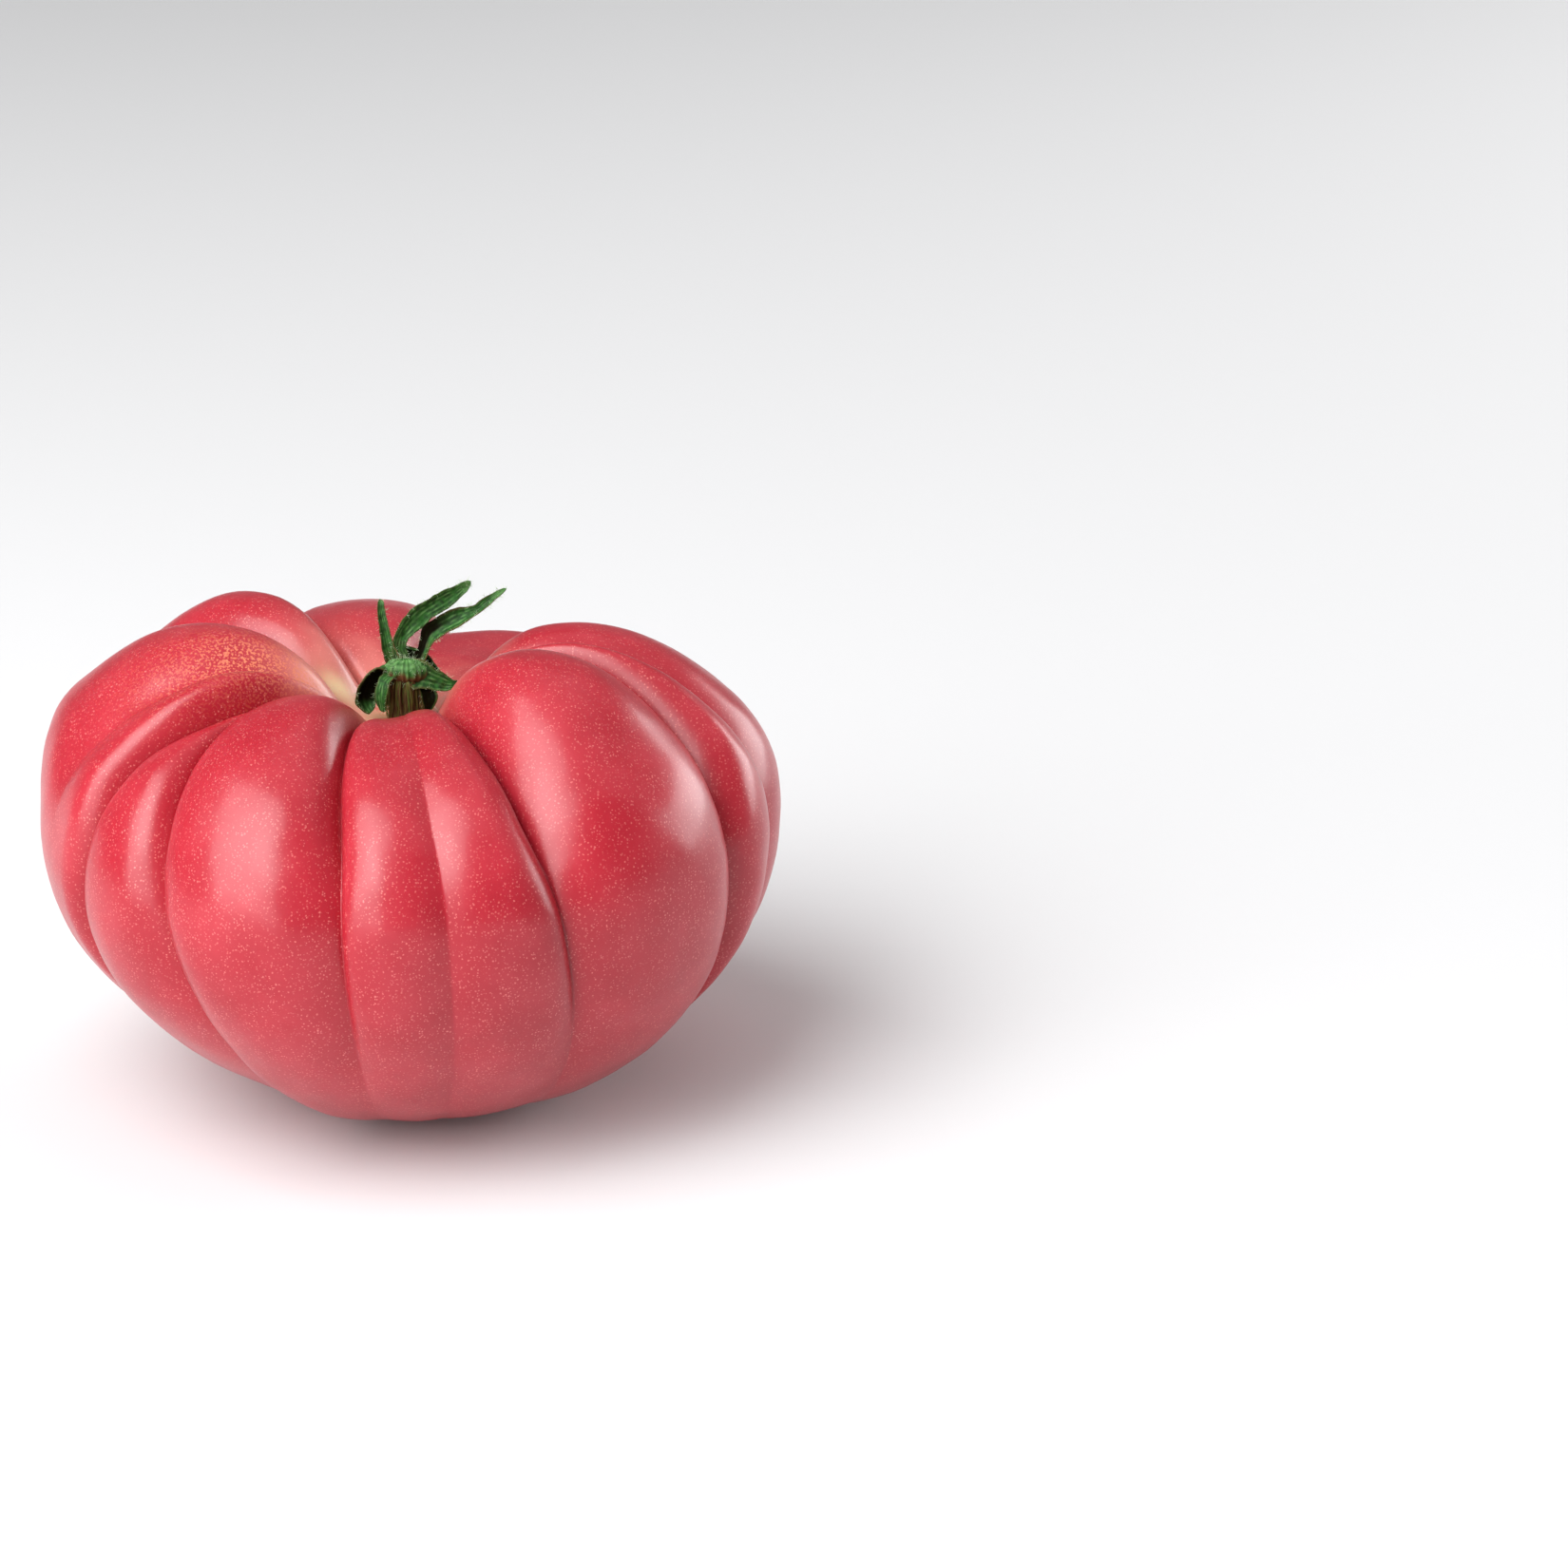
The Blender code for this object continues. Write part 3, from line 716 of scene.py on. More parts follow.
    def rib_skin(self, index: int, across: Array, at: Array) -> tuple[Array, Array]:
        """Give the skin of one rib.

        The meridian is turned about the fruit's middle line to each azimuth between the rib's two creases. It
        is moved along its own normal by the rib's swell, which falls to the crease's level to either side.

        Args:
            index: the rib's place among the ribs.
            across: shares of the way from the rib's left crease (0) to its right one (1).
            at: places along the meridian.

        Returns:
            The points (across, at, 3), and how near each lies to a crease, weighted by its depth, from 0 to
            1: the painted shade's strength.
        """
        rib = self.ribs[index]
        after = self.ribs[(index + 1) % len(self.ribs)]
        share = np.asarray(across, float)[:, None]
        section, normal = self.section(at)
        before, left, right, beyond = (self.crease_azimuth(index + k, at) for k in (-1, 0, 1, 2))
        depth_left, depth_right = self.crease_depth(index, at), self.crease_depth(index + 1, at)
        stations = (PIT_MIDDLE, PIT_WALL, CREST, SHOULDER, GIRTH, UNDERSIDE, FLAT_RIM)
        top = eased(stations, (0, 0, *rib.swell, 0), at)
        tight_left, tight_right = self.tightness(index, 1, at), self.tightness(index + 1, 0, at)
        from_left = -depth_left + (top + depth_left) * self.rise(2 * share, tight_left)
        from_right = -depth_right + (top + depth_right) * self.rise(2 * (1 - share), tight_right)
        offset = np.where(share < 0.5, from_left, from_right)
        radius = section[:, 0] + normal[:, 0] * offset
        height = section[:, 1] + normal[:, 1] * offset
        wide_left = radius * np.minimum(left - before, right - left)
        wide_right = radius * np.minimum(beyond - right, right - left)
        push = self.overhang(max(-after.overhang, 0), 2 * (1 - share), depth_right, wide_right)
        push = push - self.overhang(max(rib.overhang, 0), 2 * share, depth_left, wide_left)
        azimuth = left + (right - left) * share + push / radius
        lean = eased((PIT_MIDDLE, PIT_WALL, CREST, GIRTH, UNDERSIDE, FLAT_RIM), self.lean, at)
        points = np.stack([radius * np.sin(azimuth) + lean, -radius * np.cos(azimuth), height], -1)
        width = radius * (right - left)
        # How strongly the painted shade darkens the skin beside each crease.
        dark_left = np.clip(depth_left / self.shade_depth, 0, 1) * np.exp(-share * width / self.shade_reach)
        dark_right = np.clip(depth_right / self.shade_depth, 0, 1) * np.exp(
            -(1 - share) * width / self.shade_reach)
        return points, np.maximum(dark_left, dark_right)

    def grid(self) -> tuple[Array, dict[str, Array]]:
        """Give the whole skin as rows of points from the pit to the flat spot's rim, and the marks on it."""
        spans = len(self.meridian) - 1
        at = np.linspace(0, spans, spans * self.rows_per_span + 1)
        strips, nears = [], []
        for index, rib in enumerate(self.ribs):
            columns = round(rib.columns * self.columns_factor)
            # Columns lie closer together towards the creases.
            even = np.arange(columns) / columns
            drawn = (1 - np.cos(np.pi * even)) / 2
            across = self.even_spacing * even + (1 - self.even_spacing) * drawn
            points, near = self.rib_skin(index, across, at)
            strips.append(points)
            nears.append(near)
        points = np.concatenate(strips).transpose(1, 0, 2)
        crease = np.concatenate(nears).T
        places = np.broadcast_to(at[:, None], crease.shape)
        return points, {"crease": crease, "place": places}

    def roughened(self, points: Array, place: Array) -> Array:
        """Move the skin in and out by a soft random field, less near the flat spot and the pit."""
        out = unit(points - np.array([0, 0, self.heart_height]))
        strength = smooth_step(*self.field_in, place) * (1 - smooth_step(*self.field_out, place))
        field_value = waves(points, self.long_wave, 24, 3)
        field_value = field_value + self.short_share * waves(points, self.short_wave, 24, 4)
        return points + out * (self.unevenness * strength * field_value)[..., None]

    def colour_marks(self, points: Array, marks: dict[str, Array]) -> dict[str, Array]:
        """Work out where the skin has painted shade in its creases and painted light on the pit's wall,
        and where it is pale, golden, creamy, corky and freckled.

        Args:
            points: the skin's points.
            marks: how near each point lies to a crease.

        Returns:
            The marks that the skin's material reads.
        """
        x, y = points[..., 0], points[..., 1]
        from_pit = np.hypot(x + 1, y)
        blotch = waves(points, self.blotch_length, 20, 7)
        wall = 1 - smooth_step(*self.wall_fades, from_pit + 1.6 * blotch)
        above = smooth_step(*self.upper_part, points[..., 2])
        gold = np.clip(sum(spot.cover(points) for spot in self.gold), 0, 1)
        cream = 0.5 * np.exp(-((from_pit / self.cream_radius) ** 2)) * above
        cork = np.exp(-((from_pit / self.cork_radius) ** 4)) * above
        scar = 1 - smooth_step(0.5, 1.0, np.hypot(x, y) / self.scar_radius + 0.25 * blotch)
        return {
            # Painted shade in the creases.
            "crease": 0.75 * marks["crease"],
            # The pit wall's pale skin, and the patches of painted light.
            "pale": np.clip(0.4 * wall * above + sum(spot.cover(points) for spot in self.pale), 0, 0.85),
            "gold": gold,
            "cream": np.clip(cream + self.cream.cover(points), 0, 1),
            "cork": np.clip(0.9 * cork + 0.8 * scar * (1 - above) + self.pale_spot_on_wall.cover(points), 0, 1),
            "freckled": np.clip(0.75 + 0.25 * blotch, 0.3, 1),
        }

    def build(self) -> bpy.types.Object:
        """Make the skin's mesh and dress it, in place of the solid fruit."""
        points, marks = self.grid()
        points = self.roughened(points, marks["place"])
        rim = points[-1]
        # The flat spot: rings that shrink to the middle, where the blossom's scar dips in.
        shrink = 1 - (np.arange(1, self.base_rows + 1) / (self.base_rows + 1))[:, None, None]
        rings = rim * shrink
        radius = np.linalg.norm(rings[..., :2], axis=-1)
        rings[..., 2] = self.scar_depth * np.exp(-((radius / (0.55 * self.scar_radius)) ** 2))
        rings[..., 2] *= 1 - smooth_step(0.8, 1.4, radius / self.scar_radius)
        points = np.concatenate([points, rings])
        rows, columns = points.shape[:2]
        tips = np.array([[self.lean[0], 0.0, self.pit_floor_height], [0.0, 0.0, self.scar_depth]])
        flat = np.concatenate([points.reshape(-1, 3), tips])
        # Neither the flat spot nor the two tips lie near a crease.
        crease = np.zeros(len(flat))
        crease[:marks["crease"].size] = marks["crease"].ravel()
        first_ring = np.arange(columns)
        last_ring = first_ring + (rows - 1) * columns
        faces = [grid_faces(columns, rows, True), fan_faces(first_ring, len(flat) - 2, False),
                 fan_faces(last_ring, len(flat) - 1, True)]
        patch = Patch(flat, faces, self.colour_marks(flat, {"crease": crease}))
        skin = make_piece("fruit_skin", patch, self.finish.material())
        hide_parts("fruit")
        return skin


class Sepal(NamedTuple):
    """One sepal, a narrow leaf along a curve, in millimetres.

    path: points along its middle, from its root in the disc to its tip.
    widths: its width at the same points.
    side: a direction across the blade.
    fold: how far its edges stand forward of its middle, as a share of half the width.
    notches: how many shallow waves its edges have.
    painted_shade_strip: the strip of its forward face that is painted dark as shade: its two sides across the
    blade from -1 to 1, and the share of the length where it ends.
    browned: how far its rim and root have browned, from 0 to 1.
    fading: how pale its tip is, from 0 to 1.
    hairs: how many hairs stand on it.
    """

    name: str
    path: tuple[tuple[float, float, float], ...]
    widths: tuple[float, ...]
    side: tuple[float, float, float]
    fold: float
    notches: int
    painted_shade_strip: tuple[float, float, float]
    browned: float
    fading: float
    hairs: int


# A strip off the side of the blade, so that none of it gets painted shade.
NO_PAINTED_SHADE = (2.0, 2.0, 1.0)
SEPALS = (
    Sepal("narrow_upright", ((-1.6, 0.3, 58.0), (-2.5, 0.9, 59.9), (-3.0, 1.3, 62.4), (-3.4, 1.7, 64.8),
                             (-3.5, 2.0, 66.6)), (2.4, 1.8, 1.4, 1.1, 0.8), (1.0, 0.2, 0.1), 0.7, 0,
          NO_PAINTED_SHADE, 0.9, 0.5, 70),
    Sepal("broad_upright", ((-0.6, 0.7, 58.0), (-1.1, 1.3, 61.0), (0.8, 2.1, 63.6), (2.8, 2.8, 65.1),
                            (5.8, 3.6, 66.7), (8.3, 4.2, 68.4)), (2.0, 2.0, 2.7, 2.7, 2.1, 1.2),
          (0.66, 0.1, -0.75), 0.35, 3, NO_PAINTED_SHADE, 0.3, 0.8, 150),
    # Painted shade on the half of its forward face that turns away from the light.
    Sepal("folded_upright", ((1.4, 0.4, 58.0), (2.3, 0.8, 59.9), (3.1, 1.3, 61.7), (4.6, 1.7, 62.8),
                             (6.9, 2.3, 63.9), (9.1, 2.8, 64.8), (11.0, 3.4, 66.1), (13.0, 4.0, 67.4)),
          (1.6, 1.8, 2.3, 2.8, 2.3, 1.5, 1.1, 0.7), (0.5, -0.5, -0.7), 0.7, 4,
          (-1.2, 0.0, 0.62), 0.8, 1.0, 170),
    Sepal("back_rim", ((-1.8, 1.2, 58.6), (-0.3, 1.9, 59.0), (1.3, 1.9, 58.6), (2.7, 1.5, 57.6),
                       (4.2, 0.9, 56.5)), (2.0, 2.2, 2.2, 1.9, 1.1), (0.0, -0.2, -0.98), 0.3, 2,
          (-0.7, 1.2, 1.1), 0.5, 0.0, 40),
    Sepal("right_arched", ((0.4, -0.9, 57.6), (2.2, -1.3, 57.0), (3.9, -1.1, 56.3), (5.6, -0.5, 55.6),
                           (7.6, 0.4, 55.4)), (3.6, 3.6, 2.7, 1.5, 0.7), (0.2, 0.42, 0.88), -0.4, 2,
          NO_PAINTED_SHADE, 0.5, 0.1, 70),
    # Painted shadow over its forward face, which the arched sepal above hides from the light.
    Sepal("right_hanging", ((0.9, -0.8, 56.7), (1.9, -1.3, 55.9), (2.6, -1.7, 54.9), (2.8, -1.9, 53.8),
                            (2.6, -2.0, 52.6)), (1.6, 1.8, 2.2, 2.1, 1.2), (-0.95, -0.3, 0.0), 0.4, 2,
          (-0.8, 0.8, 1.2), 0.9, 0.0, 20),
    Sepal("left_curled", ((-1.6, -0.4, 58.0), (-3.0, -0.5, 57.9), (-4.5, -1.1, 57.2), (-5.6, -1.6, 55.3),
                          (-5.7, -2.1, 53.6), (-4.9, -2.8, 52.3)), (2.4, 2.6, 3.1, 3.6, 3.4, 1.8),
          (-0.75, -0.6, 0.0), 0.5, 4, (-0.8, 0.6, 0.95), 0.6, 0.2, 90),
    Sepal("front_hanging", ((-1.0, -1.2, 57.4), (-2.3, -2.2, 57.0), (-3.0, -3.0, 55.8), (-3.1, -3.3, 54.2),
                            (-3.0, -3.2, 52.7)), (1.9, 2.0, 1.9, 1.6, 0.8), (0.9, -0.45, 0.0), -0.5, 2,
          NO_PAINTED_SHADE, 0.45, 0.0, 40),
)


class LeafSkin(NamedTuple):
    """A closed grid of points on a leaf or the disc, its marks, and how likely a hair grows at each point."""

    points: Array
    marks: dict[str, Array]
    downy: Array


def grid_normals(points: Array) -> Array:
    """Give a closed grid's outward normals: the cross product of its steps along the columns and the rows."""
    across = np.roll(points, -1, 1) - np.roll(points, 1, 1)
    return unit(np.cross(np.gradient(points, axis=0), across))


def thin_tubes(paths: Array, radii: Array, sides: int, seed: int) -> tuple[Array, list[Array]]:
    """Make closed tubes along paths: at each point of a path a ring stands square to the way from end to end.

    Args:
        paths: the tubes' middle lines (tubes, steps, 3).
        radii: their radii (tubes, steps).
        sides: how many sides a tube has.
        seed: the seed of the turn of each tube about itself.

    Returns:
        The points (tubes * points in a tube, 3) and the faces.
    """
    count, steps = radii.shape
    whole = unit(paths[:, -1] - paths[:, 0])
    across = unit(np.cross(whole, np.random.default_rng(seed).normal(size=(count, 3))))
    third = np.cross(across, whole)
    turn = 2 * np.pi * np.arange(sides) / sides
    ring = across[:, None] * np.cos(turn)[:, None] + third[:, None] * np.sin(turn)[:, None]
    rings = paths[:, :, None] + ring[:, None] * radii[:, :, None, None]
    tips = paths[:, -1] + whole * 1.5 * radii[:, -1:]
    points = np.concatenate([rings.reshape(count, -1, 3), paths[:, :1], tips[:, None]], 1)
    block = steps * sides + 2
    starts = block * np.arange(count)[:, None, None]
    first_ring = np.arange(sides)
    groups = (grid_faces(sides, steps, True), fan_faces(first_ring, block - 2, False),
              fan_faces(first_ring + block - 2 - sides, block - 1, True))
    return points.reshape(-1, 3), [(group + starts).reshape(-1, group.shape[1]) for group in groups]


@dataclass
class Calyx:
    """The calyx: eight narrow sepals that grow from a domed disc over the stalk, and the down on them."""

    leaf_finish: LeafFinish
    hair_finish: HairFinish
    sepals: tuple[Sepal, ...] = SEPALS
    blade_thickness: float = 0.42
    blade_rows: int = 72
    blade_columns: int = 44
    edge_wave: float = 0.08
    # Fine unevenness, each with the length of its waves: the ragged edge, the blisters and the veins' sway.
    edge_ragged: float = 0.05
    ragged_length: float = 1.1
    blister: float = 0.07
    blister_length: float = 1.5
    vein_sway: float = 0.8
    sway_length: float = 2.2
    vein_count: int = 5
    vein_depth: float = 0.035
    midrib_height: float = 0.18
    midrib_width: float = 0.15
    # The last share of a blade, which rounds off its tip.
    tip_share: float = 0.08
    disc_middle: tuple[float, float, float] = (0.0, -0.3, 57.6)
    disc_half_size: tuple[float, float, float] = (3.1, 2.6, 1.8)
    disc_rows: int = 56
    disc_columns: int = 150
    disc_ridges: int = 21
    disc_ridge_depth: float = 0.09
    # A torn hollow behind the disc's top.
    hollow_middle: tuple[float, float] = (0.5, 0.85)
    hollow_half_size: tuple[float, float] = (2.3, 1.1)
    hollow_depth: float = 1.5
    disc_hairs: int = 200
    hair_radius: float = 0.021
    hair_length: tuple[float, float] = (0.2, 0.75)
    # How far hairs lean from the skin's normal, how far they bend, and how deep their roots stand.
    hair_lean: float = 0.45
    hair_bend: float = 0.5
    hair_root: float = 0.05

    def blade(self, sepal: Sepal, seed: int) -> LeafSkin:
        """Give one sepal's skin.

        At each step along the path stands a flat oval ring (v, s) = (cos t, sin t): v runs across the blade
        and s over its thickness. It is bent by fold * v^2, and waves, veins and the midrib are added to that.

        Args:
            sepal: the sepal.
            seed: the seed of its waves.

        Returns:
            The grid, its rows from the root to the tip.
        """
        last = len(sepal.path) - 1
        share = np.linspace(0, 1, self.blade_rows)[:, None]
        middle = smooth_curve(np.arange(last + 1), sepal.path, share[:, 0] * last)
        width = smooth_curve(np.arange(last + 1), sepal.widths, share * last)
        along = unit(np.gradient(middle, axis=0))
        side = np.array(sepal.side)
        side = unit(side - along * (along @ side)[:, None])
        out = np.cross(side, along)
        turn = 2 * np.pi * np.arange(self.blade_columns) / self.blade_columns
        v, s = np.cos(turn)[None, :], np.sin(turn)[None, :]
        # The two edges are ragged each in its own way.
        ragged = waves(middle[:, None] + 3 * np.sign(v)[..., None], self.ragged_length, 16, seed)
        rounded = np.sqrt(1 - np.clip((share - 1 + self.tip_share) / self.tip_share, 0, 0.999) ** 2)
        half = width / 2 * rounded * (1 + self.edge_wave * np.sin(2 * np.pi * sepal.notches * share))
        half = half * (1 + self.edge_ragged * ragged)
        flat = middle[:, None] + side[:, None] * (v * half)[..., None]
        blister = self.blister * waves(flat, self.blister_length, 24, seed + 50)
        sway = self.vein_sway * waves(flat, self.sway_length, 16, seed + 90)
        strand = np.clip(np.cos(np.pi * self.vein_count * v + sway), 0, 1) ** 2
        thick = self.blade_thickness / 2 * np.abs(s) ** 0.6 * np.sign(s) * (0.6 + 0.4 * rounded)
        rib = -self.midrib_height * np.exp(-((v / self.midrib_width) ** 2)) * (s < 0) * (1 - 0.7 * share)
        lift = sepal.fold * v**2 * half + blister + thick + rib + self.vein_depth * strand * np.sign(s)
        points = flat + out[:, None] * lift[..., None]
        edge = np.abs(v) + 0 * share
        patchy = 0.5 + 0.5 * waves(points, 0.9, 24, seed + 20)
        # The painted shade: a strip of the forward face, dark where the blade lies in shade.
        low, high, end = sepal.painted_shade_strip
        strip = smooth_step(low - 0.1, low + 0.15, v) * (1 - smooth_step(high - 0.1, high + 0.15, v))
        forward = (s > -0.3) * strip
        at_root = 0.75 * (1 - smooth_step(0.0, 0.4, share)) * patchy
        dry = sepal.browned * (smooth_step(0.72, 0.98, edge) + at_root)
        fade = sepal.fading * smooth_step(0.84, 1.0, share) * (0.4 + 0.6 * patchy)
        marks = {
            "vein": 0.6 * strand * patchy,
            "dry": np.clip(0.85 * dry * (1 - 0.9 * fade), 0, 1),
            "painted_shade": 0.97 * forward * (1 - smooth_step(end - 0.25, end, share)),
            "light": np.clip(0.35 * smooth_step(0.93, 1.0, edge) * patchy + 0.8 * fade, 0, 1),
        }
        return LeafSkin(points, marks, 0.03 + 2.5 * smooth_step(0.8, 1.0, edge) + 2.0 * fade)

    def disc(self) -> LeafSkin:
        """Give the skin of the disc: an ellipsoid with fine ridges down its sides and a hollow behind."""
        polar = np.linspace(0.02, 0.985, self.disc_rows)[:, None] * np.pi
        turn = 2 * np.pi * np.arange(self.disc_columns)[None, :] / self.disc_columns
        level = 0 * polar * turn
        ball = np.stack([
            np.sin(polar) * np.cos(turn), np.sin(polar) * np.sin(turn), np.cos(polar) + level], -1)
        round_it = np.stack([3 * np.cos(turn) + level, 3 * np.sin(turn) + level, 0.5 * polar + level], -1)
        streaks = waves(round_it, 1.4, 24, 61)
        ridge = np.cos(self.disc_ridges * turn + 1.6 * streaks) * np.sin(polar)
        size = np.array(self.disc_half_size)
        points = np.array(self.disc_middle) + ball * (size + self.disc_ridge_depth * ridge[..., None])
        away = (points[..., :2] - np.array(self.hollow_middle)) / np.array(self.hollow_half_size)
        hollow = np.exp(-((away**2).sum(-1) ** 1.5)) * (ball[..., 2] > 0)
        points[..., 2] -= self.hollow_depth * hollow
        height = ball[..., 2]
        patchy = 0.5 + 0.5 * waves(points, 0.8, 24, 62)
        crest = np.exp(-(((hollow - 0.25) / 0.2) ** 2)) * (height > 0.3)
        marks = {
            "vein": np.clip(0.75 * (0.5 + 0.5 * ridge) ** 2 * patchy, 0, 1),
            "dry": np.clip(0.95 * (1 - smooth_step(-0.35, 0.25, height + 0.3 * streaks)), 0, 1),
            # Painted shade: near black in the hollow behind the disc's top.
            "painted_shade": 0.98 * smooth_step(0.35, 0.6, hollow),
            # Painted highlight: lighter towards the disc's top and on the crest round the hollow.
            "light": np.clip(0.4 * smooth_step(0.1, 0.6, height) * patchy + 0.45 * crest, 0, 1),
        }
        return LeafSkin(points, marks, 0.3 + smooth_step(-0.3, 0.2, height) + 2 * crest)

    def hairs(self, skin: LeafSkin, count: int, seed: int) -> tuple[Array, Array]:
        """Place hairs on a skin, most where it is downy.

        Args:
            skin: the grid that they stand on.
            count: how many.
            seed: the seed of their places, lengths and leans.

        Returns:
            Their middle lines (hairs, 3, 3), from the root through a bend to the tip, and their tones.
        """
        draw = np.random.default_rng(seed)
        weight = (skin.downy + 0 * skin.points[..., 0]).ravel()
        chosen = draw.choice(weight.size, count, p=weight / weight.sum())
        root = skin.points.reshape(-1, 3)[chosen]
        normal = grid_normals(skin.points).reshape(-1, 3)[chosen]
        way = unit(normal + self.hair_lean * draw.normal(size=(count, 3)))
        length = draw.uniform(*self.hair_length, (count, 1)) * np.clip(weight[chosen][:, None], 0.35, 1)
        bend = unit(way + self.hair_bend * draw.normal(size=(count, 3)))
        foot = root - self.hair_root * way
        paths = np.stack([foot, root + way * length / 2, root + (way + bend) * length / 2], 1)
        return paths, draw.uniform(0, 1, count)

    def build(self) -> list[bpy.types.Object]:
        """Make the leaves and their down, in place of the solid calyx."""
        skins = [(self.blade(sepal, 200 + 7 * i), sepal.hairs) for i, sepal in enumerate(self.sepals)]
        skins.append((self.disc(), self.disc_hairs))
        patches, lines, tones = [], [], []
        for number, (skin, count) in enumerate(skins):
            rows, columns = skin.points.shape[:2]
            ends = np.stack([skin.points[0].mean(0), skin.points[-1].mean(0)])
            points = np.concatenate([skin.points.reshape(-1, 3), ends])
            ring = np.arange(columns)
            last = ring + (rows - 1) * columns
            faces = [grid_faces(columns, rows, True), fan_faces(ring, len(points) - 2, False),
                     fan_faces(last, len(points) - 1, True)]
            marks = {}
            for name, values in skin.marks.items():
                whole = values + 0 * skin.points[..., 0]
                marks[name] = np.concatenate([whole.ravel(), [whole[0].mean(), whole[-1].mean()]])
            patches.append(Patch(points, faces, marks))
            paths, tone = self.hairs(skin, count, 400 + number)
            lines.append(paths)
            tones.append(tone)
        leaves = make_piece("calyx_leaves", join_patches(patches), self.leaf_finish.material())
        paths = np.concatenate(lines)
        radii = self.hair_radius * np.broadcast_to([1.0, 0.8, 0.3], (len(paths), 3))
        points, faces = thin_tubes(paths, radii, 3, 500)
        tone = np.repeat(np.concatenate(tones), len(points) // len(paths))
        hairs = Patch(points, faces, {"tone": tone})
        down = make_piece("calyx_down", hairs, self.hair_finish.material())
        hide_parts("calyx")
        return [leaves, down]


@dataclass
class Stalk:
    """The stub of the stalk: a grooved column of stringy fibres between the pit's floor and the calyx."""

    finish: StalkFinish
    middle: tuple[float, float] = (-0.3, -0.2)
    # Radii and heights, from the pit's floor up into the disc.
    rings: tuple[tuple[float, float], ...] = (
        (2.5, 50.6), (2.3, 51.4), (2.1, 52.4), (1.95, 53.4), (1.9, 54.6), (1.9, 56.6))
    rows: int = 60
    columns: int = 120
    grooves: int = 7
    groove_depth: float = 0.14
    fibres: int = 23
    fibre_depth: float = 0.06
    strands: int = 120
    strand_radius: tuple[float, float] = (0.07, 0.15)
    strand_spread: float = 0.3
    # The strands' distances from the middle and their heights, at the top and at the foot.
    strand_top: tuple[float, float] = (2.0, 2.5)
    strand_foot: tuple[float, float] = (2.2, 2.6)
    strand_high: tuple[float, float] = (56.4, 57.1)
    strand_low: float = 51.0
    strand_low_range: float = 2.5

    def column(self) -> Patch:
        """Give the column: rings whose radius is grooved by cosines of the turn, closed at both ends."""
        share = np.linspace(1, 0, self.rows)[:, None] * (len(self.rings) - 1)
        radius, height = np.moveaxis(smooth_curve(np.arange(len(self.rings)), self.rings, share), -1, 0)
        turn = 2 * np.pi * np.arange(self.columns)[None, :] / self.columns
        twist = turn + 0.12 * np.sin(1.3 * height)
        radius = radius * (1 - self.groove_depth * (0.5 + 0.5 * np.cos(self.grooves * twist)))
        radius = radius + self.fibre_depth * np.cos(self.fibres * twist + np.sin(0.9 * height))
        points = np.stack([self.middle[0] + radius * np.cos(turn), self.middle[1] + radius * np.sin(turn),
                           height + 0 * turn], -1)
        flat = points.reshape(-1, 3)
        ends = np.stack([points[0].mean(0), points[-1].mean(0)])
        ring = np.arange(self.columns)
        faces = [grid_faces(self.columns, self.rows, True), fan_faces(ring, len(flat), False),
                 fan_faces(ring + len(flat) - self.columns, len(flat) + 1, True)]
        flat = np.concatenate([flat, ends])
        tone = 0.15 * smooth_step(54.0, 57.0, flat[:, 2])
        return Patch(flat, faces, {"tone": tone})

    def loose_strands(self) -> Patch:
        """Give the loose strands round the column: thin tubes from the disc to the pit, bowed outwards."""
        draw = np.random.default_rng(71)
        turn = draw.uniform(0, 2 * np.pi, self.strands)
        foot_turn = turn + draw.normal(0, 0.12, self.strands)
        steps = np.linspace(0, 1, 9)[None, :]
        top = draw.uniform(*self.strand_top, (self.strands, 1))
        foot = draw.uniform(*self.strand_foot, (self.strands, 1))
        bow = self.strand_spread * draw.uniform(-0.1, 1, (self.strands, 1))
        radius = top + (foot - top) * steps + bow * np.sin(np.pi * steps)
        azimuth = turn[:, None] + (foot_turn - turn)[:, None] * steps
        high = draw.uniform(*self.strand_high, (self.strands, 1))
        low = self.strand_low + self.strand_low_range * draw.uniform(0, 1, (self.strands, 1)) ** 2
        height = high + (low - high) * steps
        paths = np.stack([
            self.middle[0] + radius * np.cos(azimuth), self.middle[1] + radius * np.sin(azimuth), height], -1)
        radii = draw.uniform(*self.strand_radius, (self.strands, 1)) * (1 - 0.55 * steps)
        points, faces = thin_tubes(paths, radii, 6, 72)
        tone = np.repeat(0.8 * draw.uniform(0, 1, self.strands) ** 4, len(points) // self.strands)
        return Patch(points, faces, {"tone": tone})

    def build(self) -> bpy.types.Object:
        """Make the column with its loose strands, in place of the solid stalk."""
        patch = join_patches([self.column(), self.loose_strands()])
        stub = make_piece("stalk_fibres", patch, self.finish.material())
        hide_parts("stalk")
        return stub


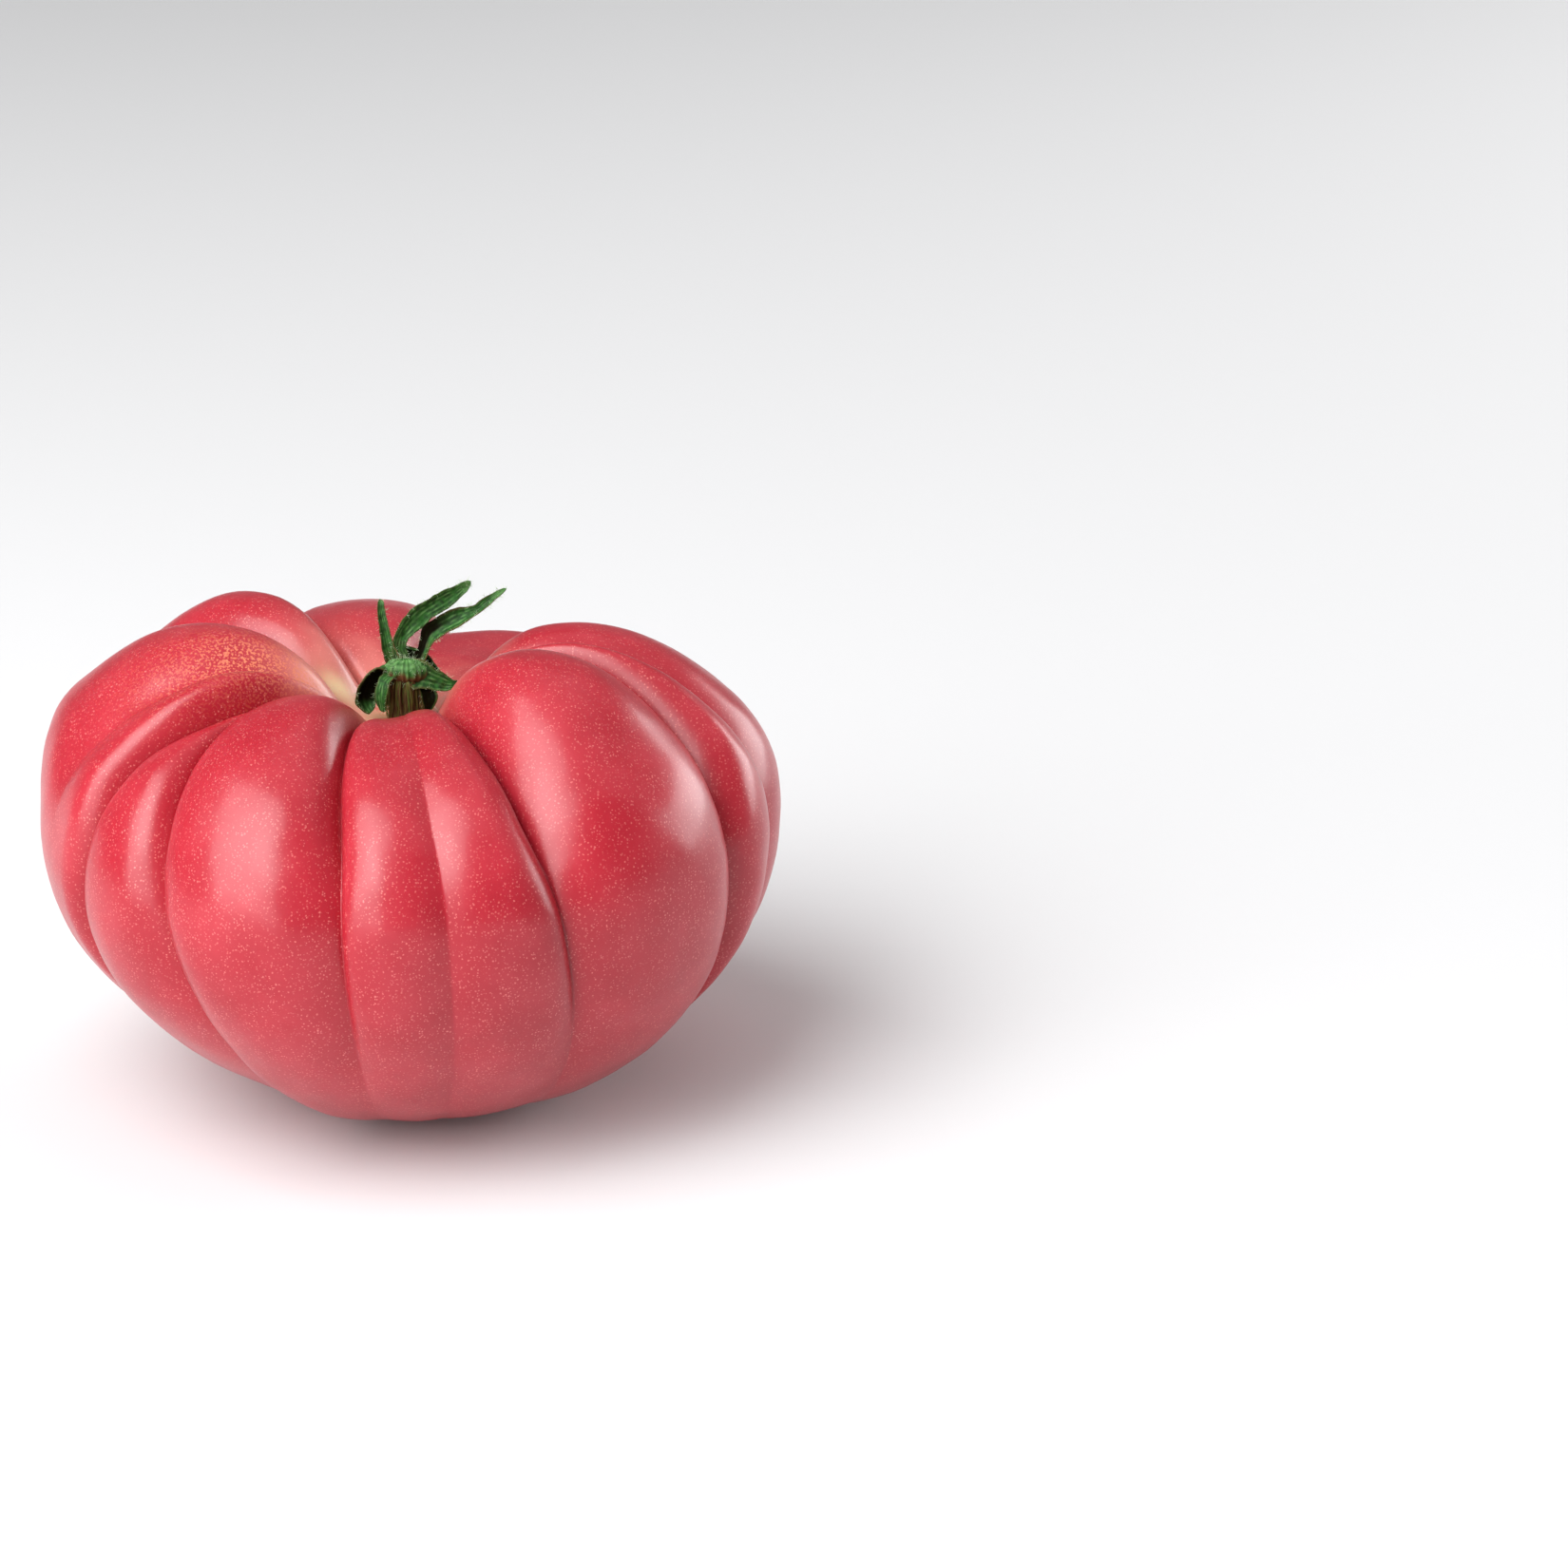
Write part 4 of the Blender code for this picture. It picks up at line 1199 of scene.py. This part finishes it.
@dataclass
class SoftBox:
    """A studio light: a glowing rectangle that faces the object."""

    name: str
    azimuth: float
    elevation: float
    distance: float
    width: float
    height: float
    brightness: float
    roll: float = 0.0
    colour: str = "#ffffff"
    target: tuple[float, float, float] = (0.0, 0.0, 0.035)

    def build(self) -> bpy.types.Object:
        """Make the light and turn it to its target."""
        data = bpy.data.lights.new(self.name, "AREA")
        data.shape = "RECTANGLE"
        data.size, data.size_y = self.width, self.height
        # A rectangle of this power glows with the wanted brightness all over.
        data.energy = self.brightness * math.pi * self.width * self.height
        data.color = to_linear(self.colour)[:3]
        light = bpy.data.objects.new(self.name, data)
        bpy.context.scene.collection.objects.link(light)
        turn, rise = math.radians(self.azimuth), math.radians(self.elevation)
        away = Vector((math.sin(turn) * math.cos(rise), -math.cos(turn) * math.cos(rise), math.sin(rise)))
        light.location = Vector(self.target) + away * self.distance
        facing = away.to_track_quat("Z", "Y").to_matrix() @ Matrix.Rotation(math.radians(self.roll), 3, "Z")
        light.rotation_euler = facing.to_euler()
        light.visible_camera = False
        return light


@dataclass
class Studio:
    """A white floor, soft boxes and the camera."""

    floor_finish: FloorFinish
    floor_half: float = 3.0
    ambient: float = 0.18
    image_side: int = 1650
    sensor: float = 36.0
    lens: float = 130.0
    elevation: float = 20.0
    pixels_per_mm: float = 7.78
    # Where the middle of the flat spot falls in the picture.
    flat_spot_pixel: tuple[float, float] = (439.0, 1128.0)
    boxes: tuple[SoftBox, ...] = (
        SoftBox("key_box", -47.0, 48.0, 1.0, 0.95, 1.15, 4.9, roll=18.0),
        SoftBox("key_lamp", -38.0, 46.0, 0.98, 0.42, 0.50, 3.2, roll=18.0),
        SoftBox("low_key_box", -38.0, 10.0, 1.0, 0.90, 0.36, 3.6),
        SoftBox("right_box", 120.0, 13.0, 1.0, 0.85, 0.42, 5.8),
        SoftBox("ceiling_panel", 120.0, 72.0, 1.2, 1.4, 1.0, 0.5),
    )

    def build_floor(self) -> bpy.types.Object:
        """Make the floor, a flat square that reaches past the camera's view."""
        half = self.floor_half
        mesh = bpy.data.meshes.new("floor")
        corners = [(-half, -half, 0), (half, -half, 0), (half, half, 0), (-half, half, 0)]
        mesh.from_pydata(corners, [], [(0, 1, 2, 3)])
        mesh.materials.append(self.floor_finish.material())
        floor = bpy.data.objects.new("floor", mesh)
        bpy.context.scene.collection.objects.link(floor)
        return floor

    def build_camera(self) -> bpy.types.Object:
        """Make the camera where the photograph's scale, angle and the flat spot's pixel put it."""
        data = bpy.data.cameras.new("camera")
        data.lens, data.sensor_width = self.lens, self.sensor
        data.clip_start, data.clip_end = 0.01, 20.0
        camera = bpy.data.objects.new("camera", data)
        bpy.context.scene.collection.objects.link(camera)
        focal = self.image_side * self.lens / self.sensor
        depth = focal / (self.pixels_per_mm / MM)
        right = (self.flat_spot_pixel[0] - self.image_side / 2) / focal * depth
        down = (self.flat_spot_pixel[1] - self.image_side / 2) / focal * depth
        tilt = math.radians(self.elevation)
        forward_way = Vector((0, math.cos(tilt), -math.sin(tilt)))
        down_way = Vector((0, -math.sin(tilt), -math.cos(tilt)))
        camera.location = -(Vector((1, 0, 0)) * right + down_way * down + forward_way * depth)
        camera.rotation_euler = (math.radians(90 - self.elevation), 0, 0)
        bpy.context.scene.camera = camera
        return camera

    def build(self) -> None:
        """Make the floor, the lights, the room's light and the camera."""
        self.build_floor()
        for box in self.boxes:
            box.build()
        world = bpy.data.worlds.new("studio")
        world.use_nodes = True
        set_inputs(world.node_tree.nodes["Background"], {"Color": (1, 1, 1, 1), "Strength": self.ambient})
        bpy.context.scene.world = world
        bpy.context.scene.view_settings.view_transform = "Standard"
        self.build_camera()
        LOG.info("studio: %d lights", len(self.boxes))


def main() -> None:
    """Build the studio and the object's pieces."""
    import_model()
    Studio(FloorFinish()).build()
    FruitSkin(SkinFinish()).build()
    Calyx(LeafFinish(), HairFinish()).build()
    Stalk(StalkFinish()).build()


if __name__ == "__main__":
    logging.basicConfig(level=logging.INFO, format="%(name)s: %(message)s")
    main()
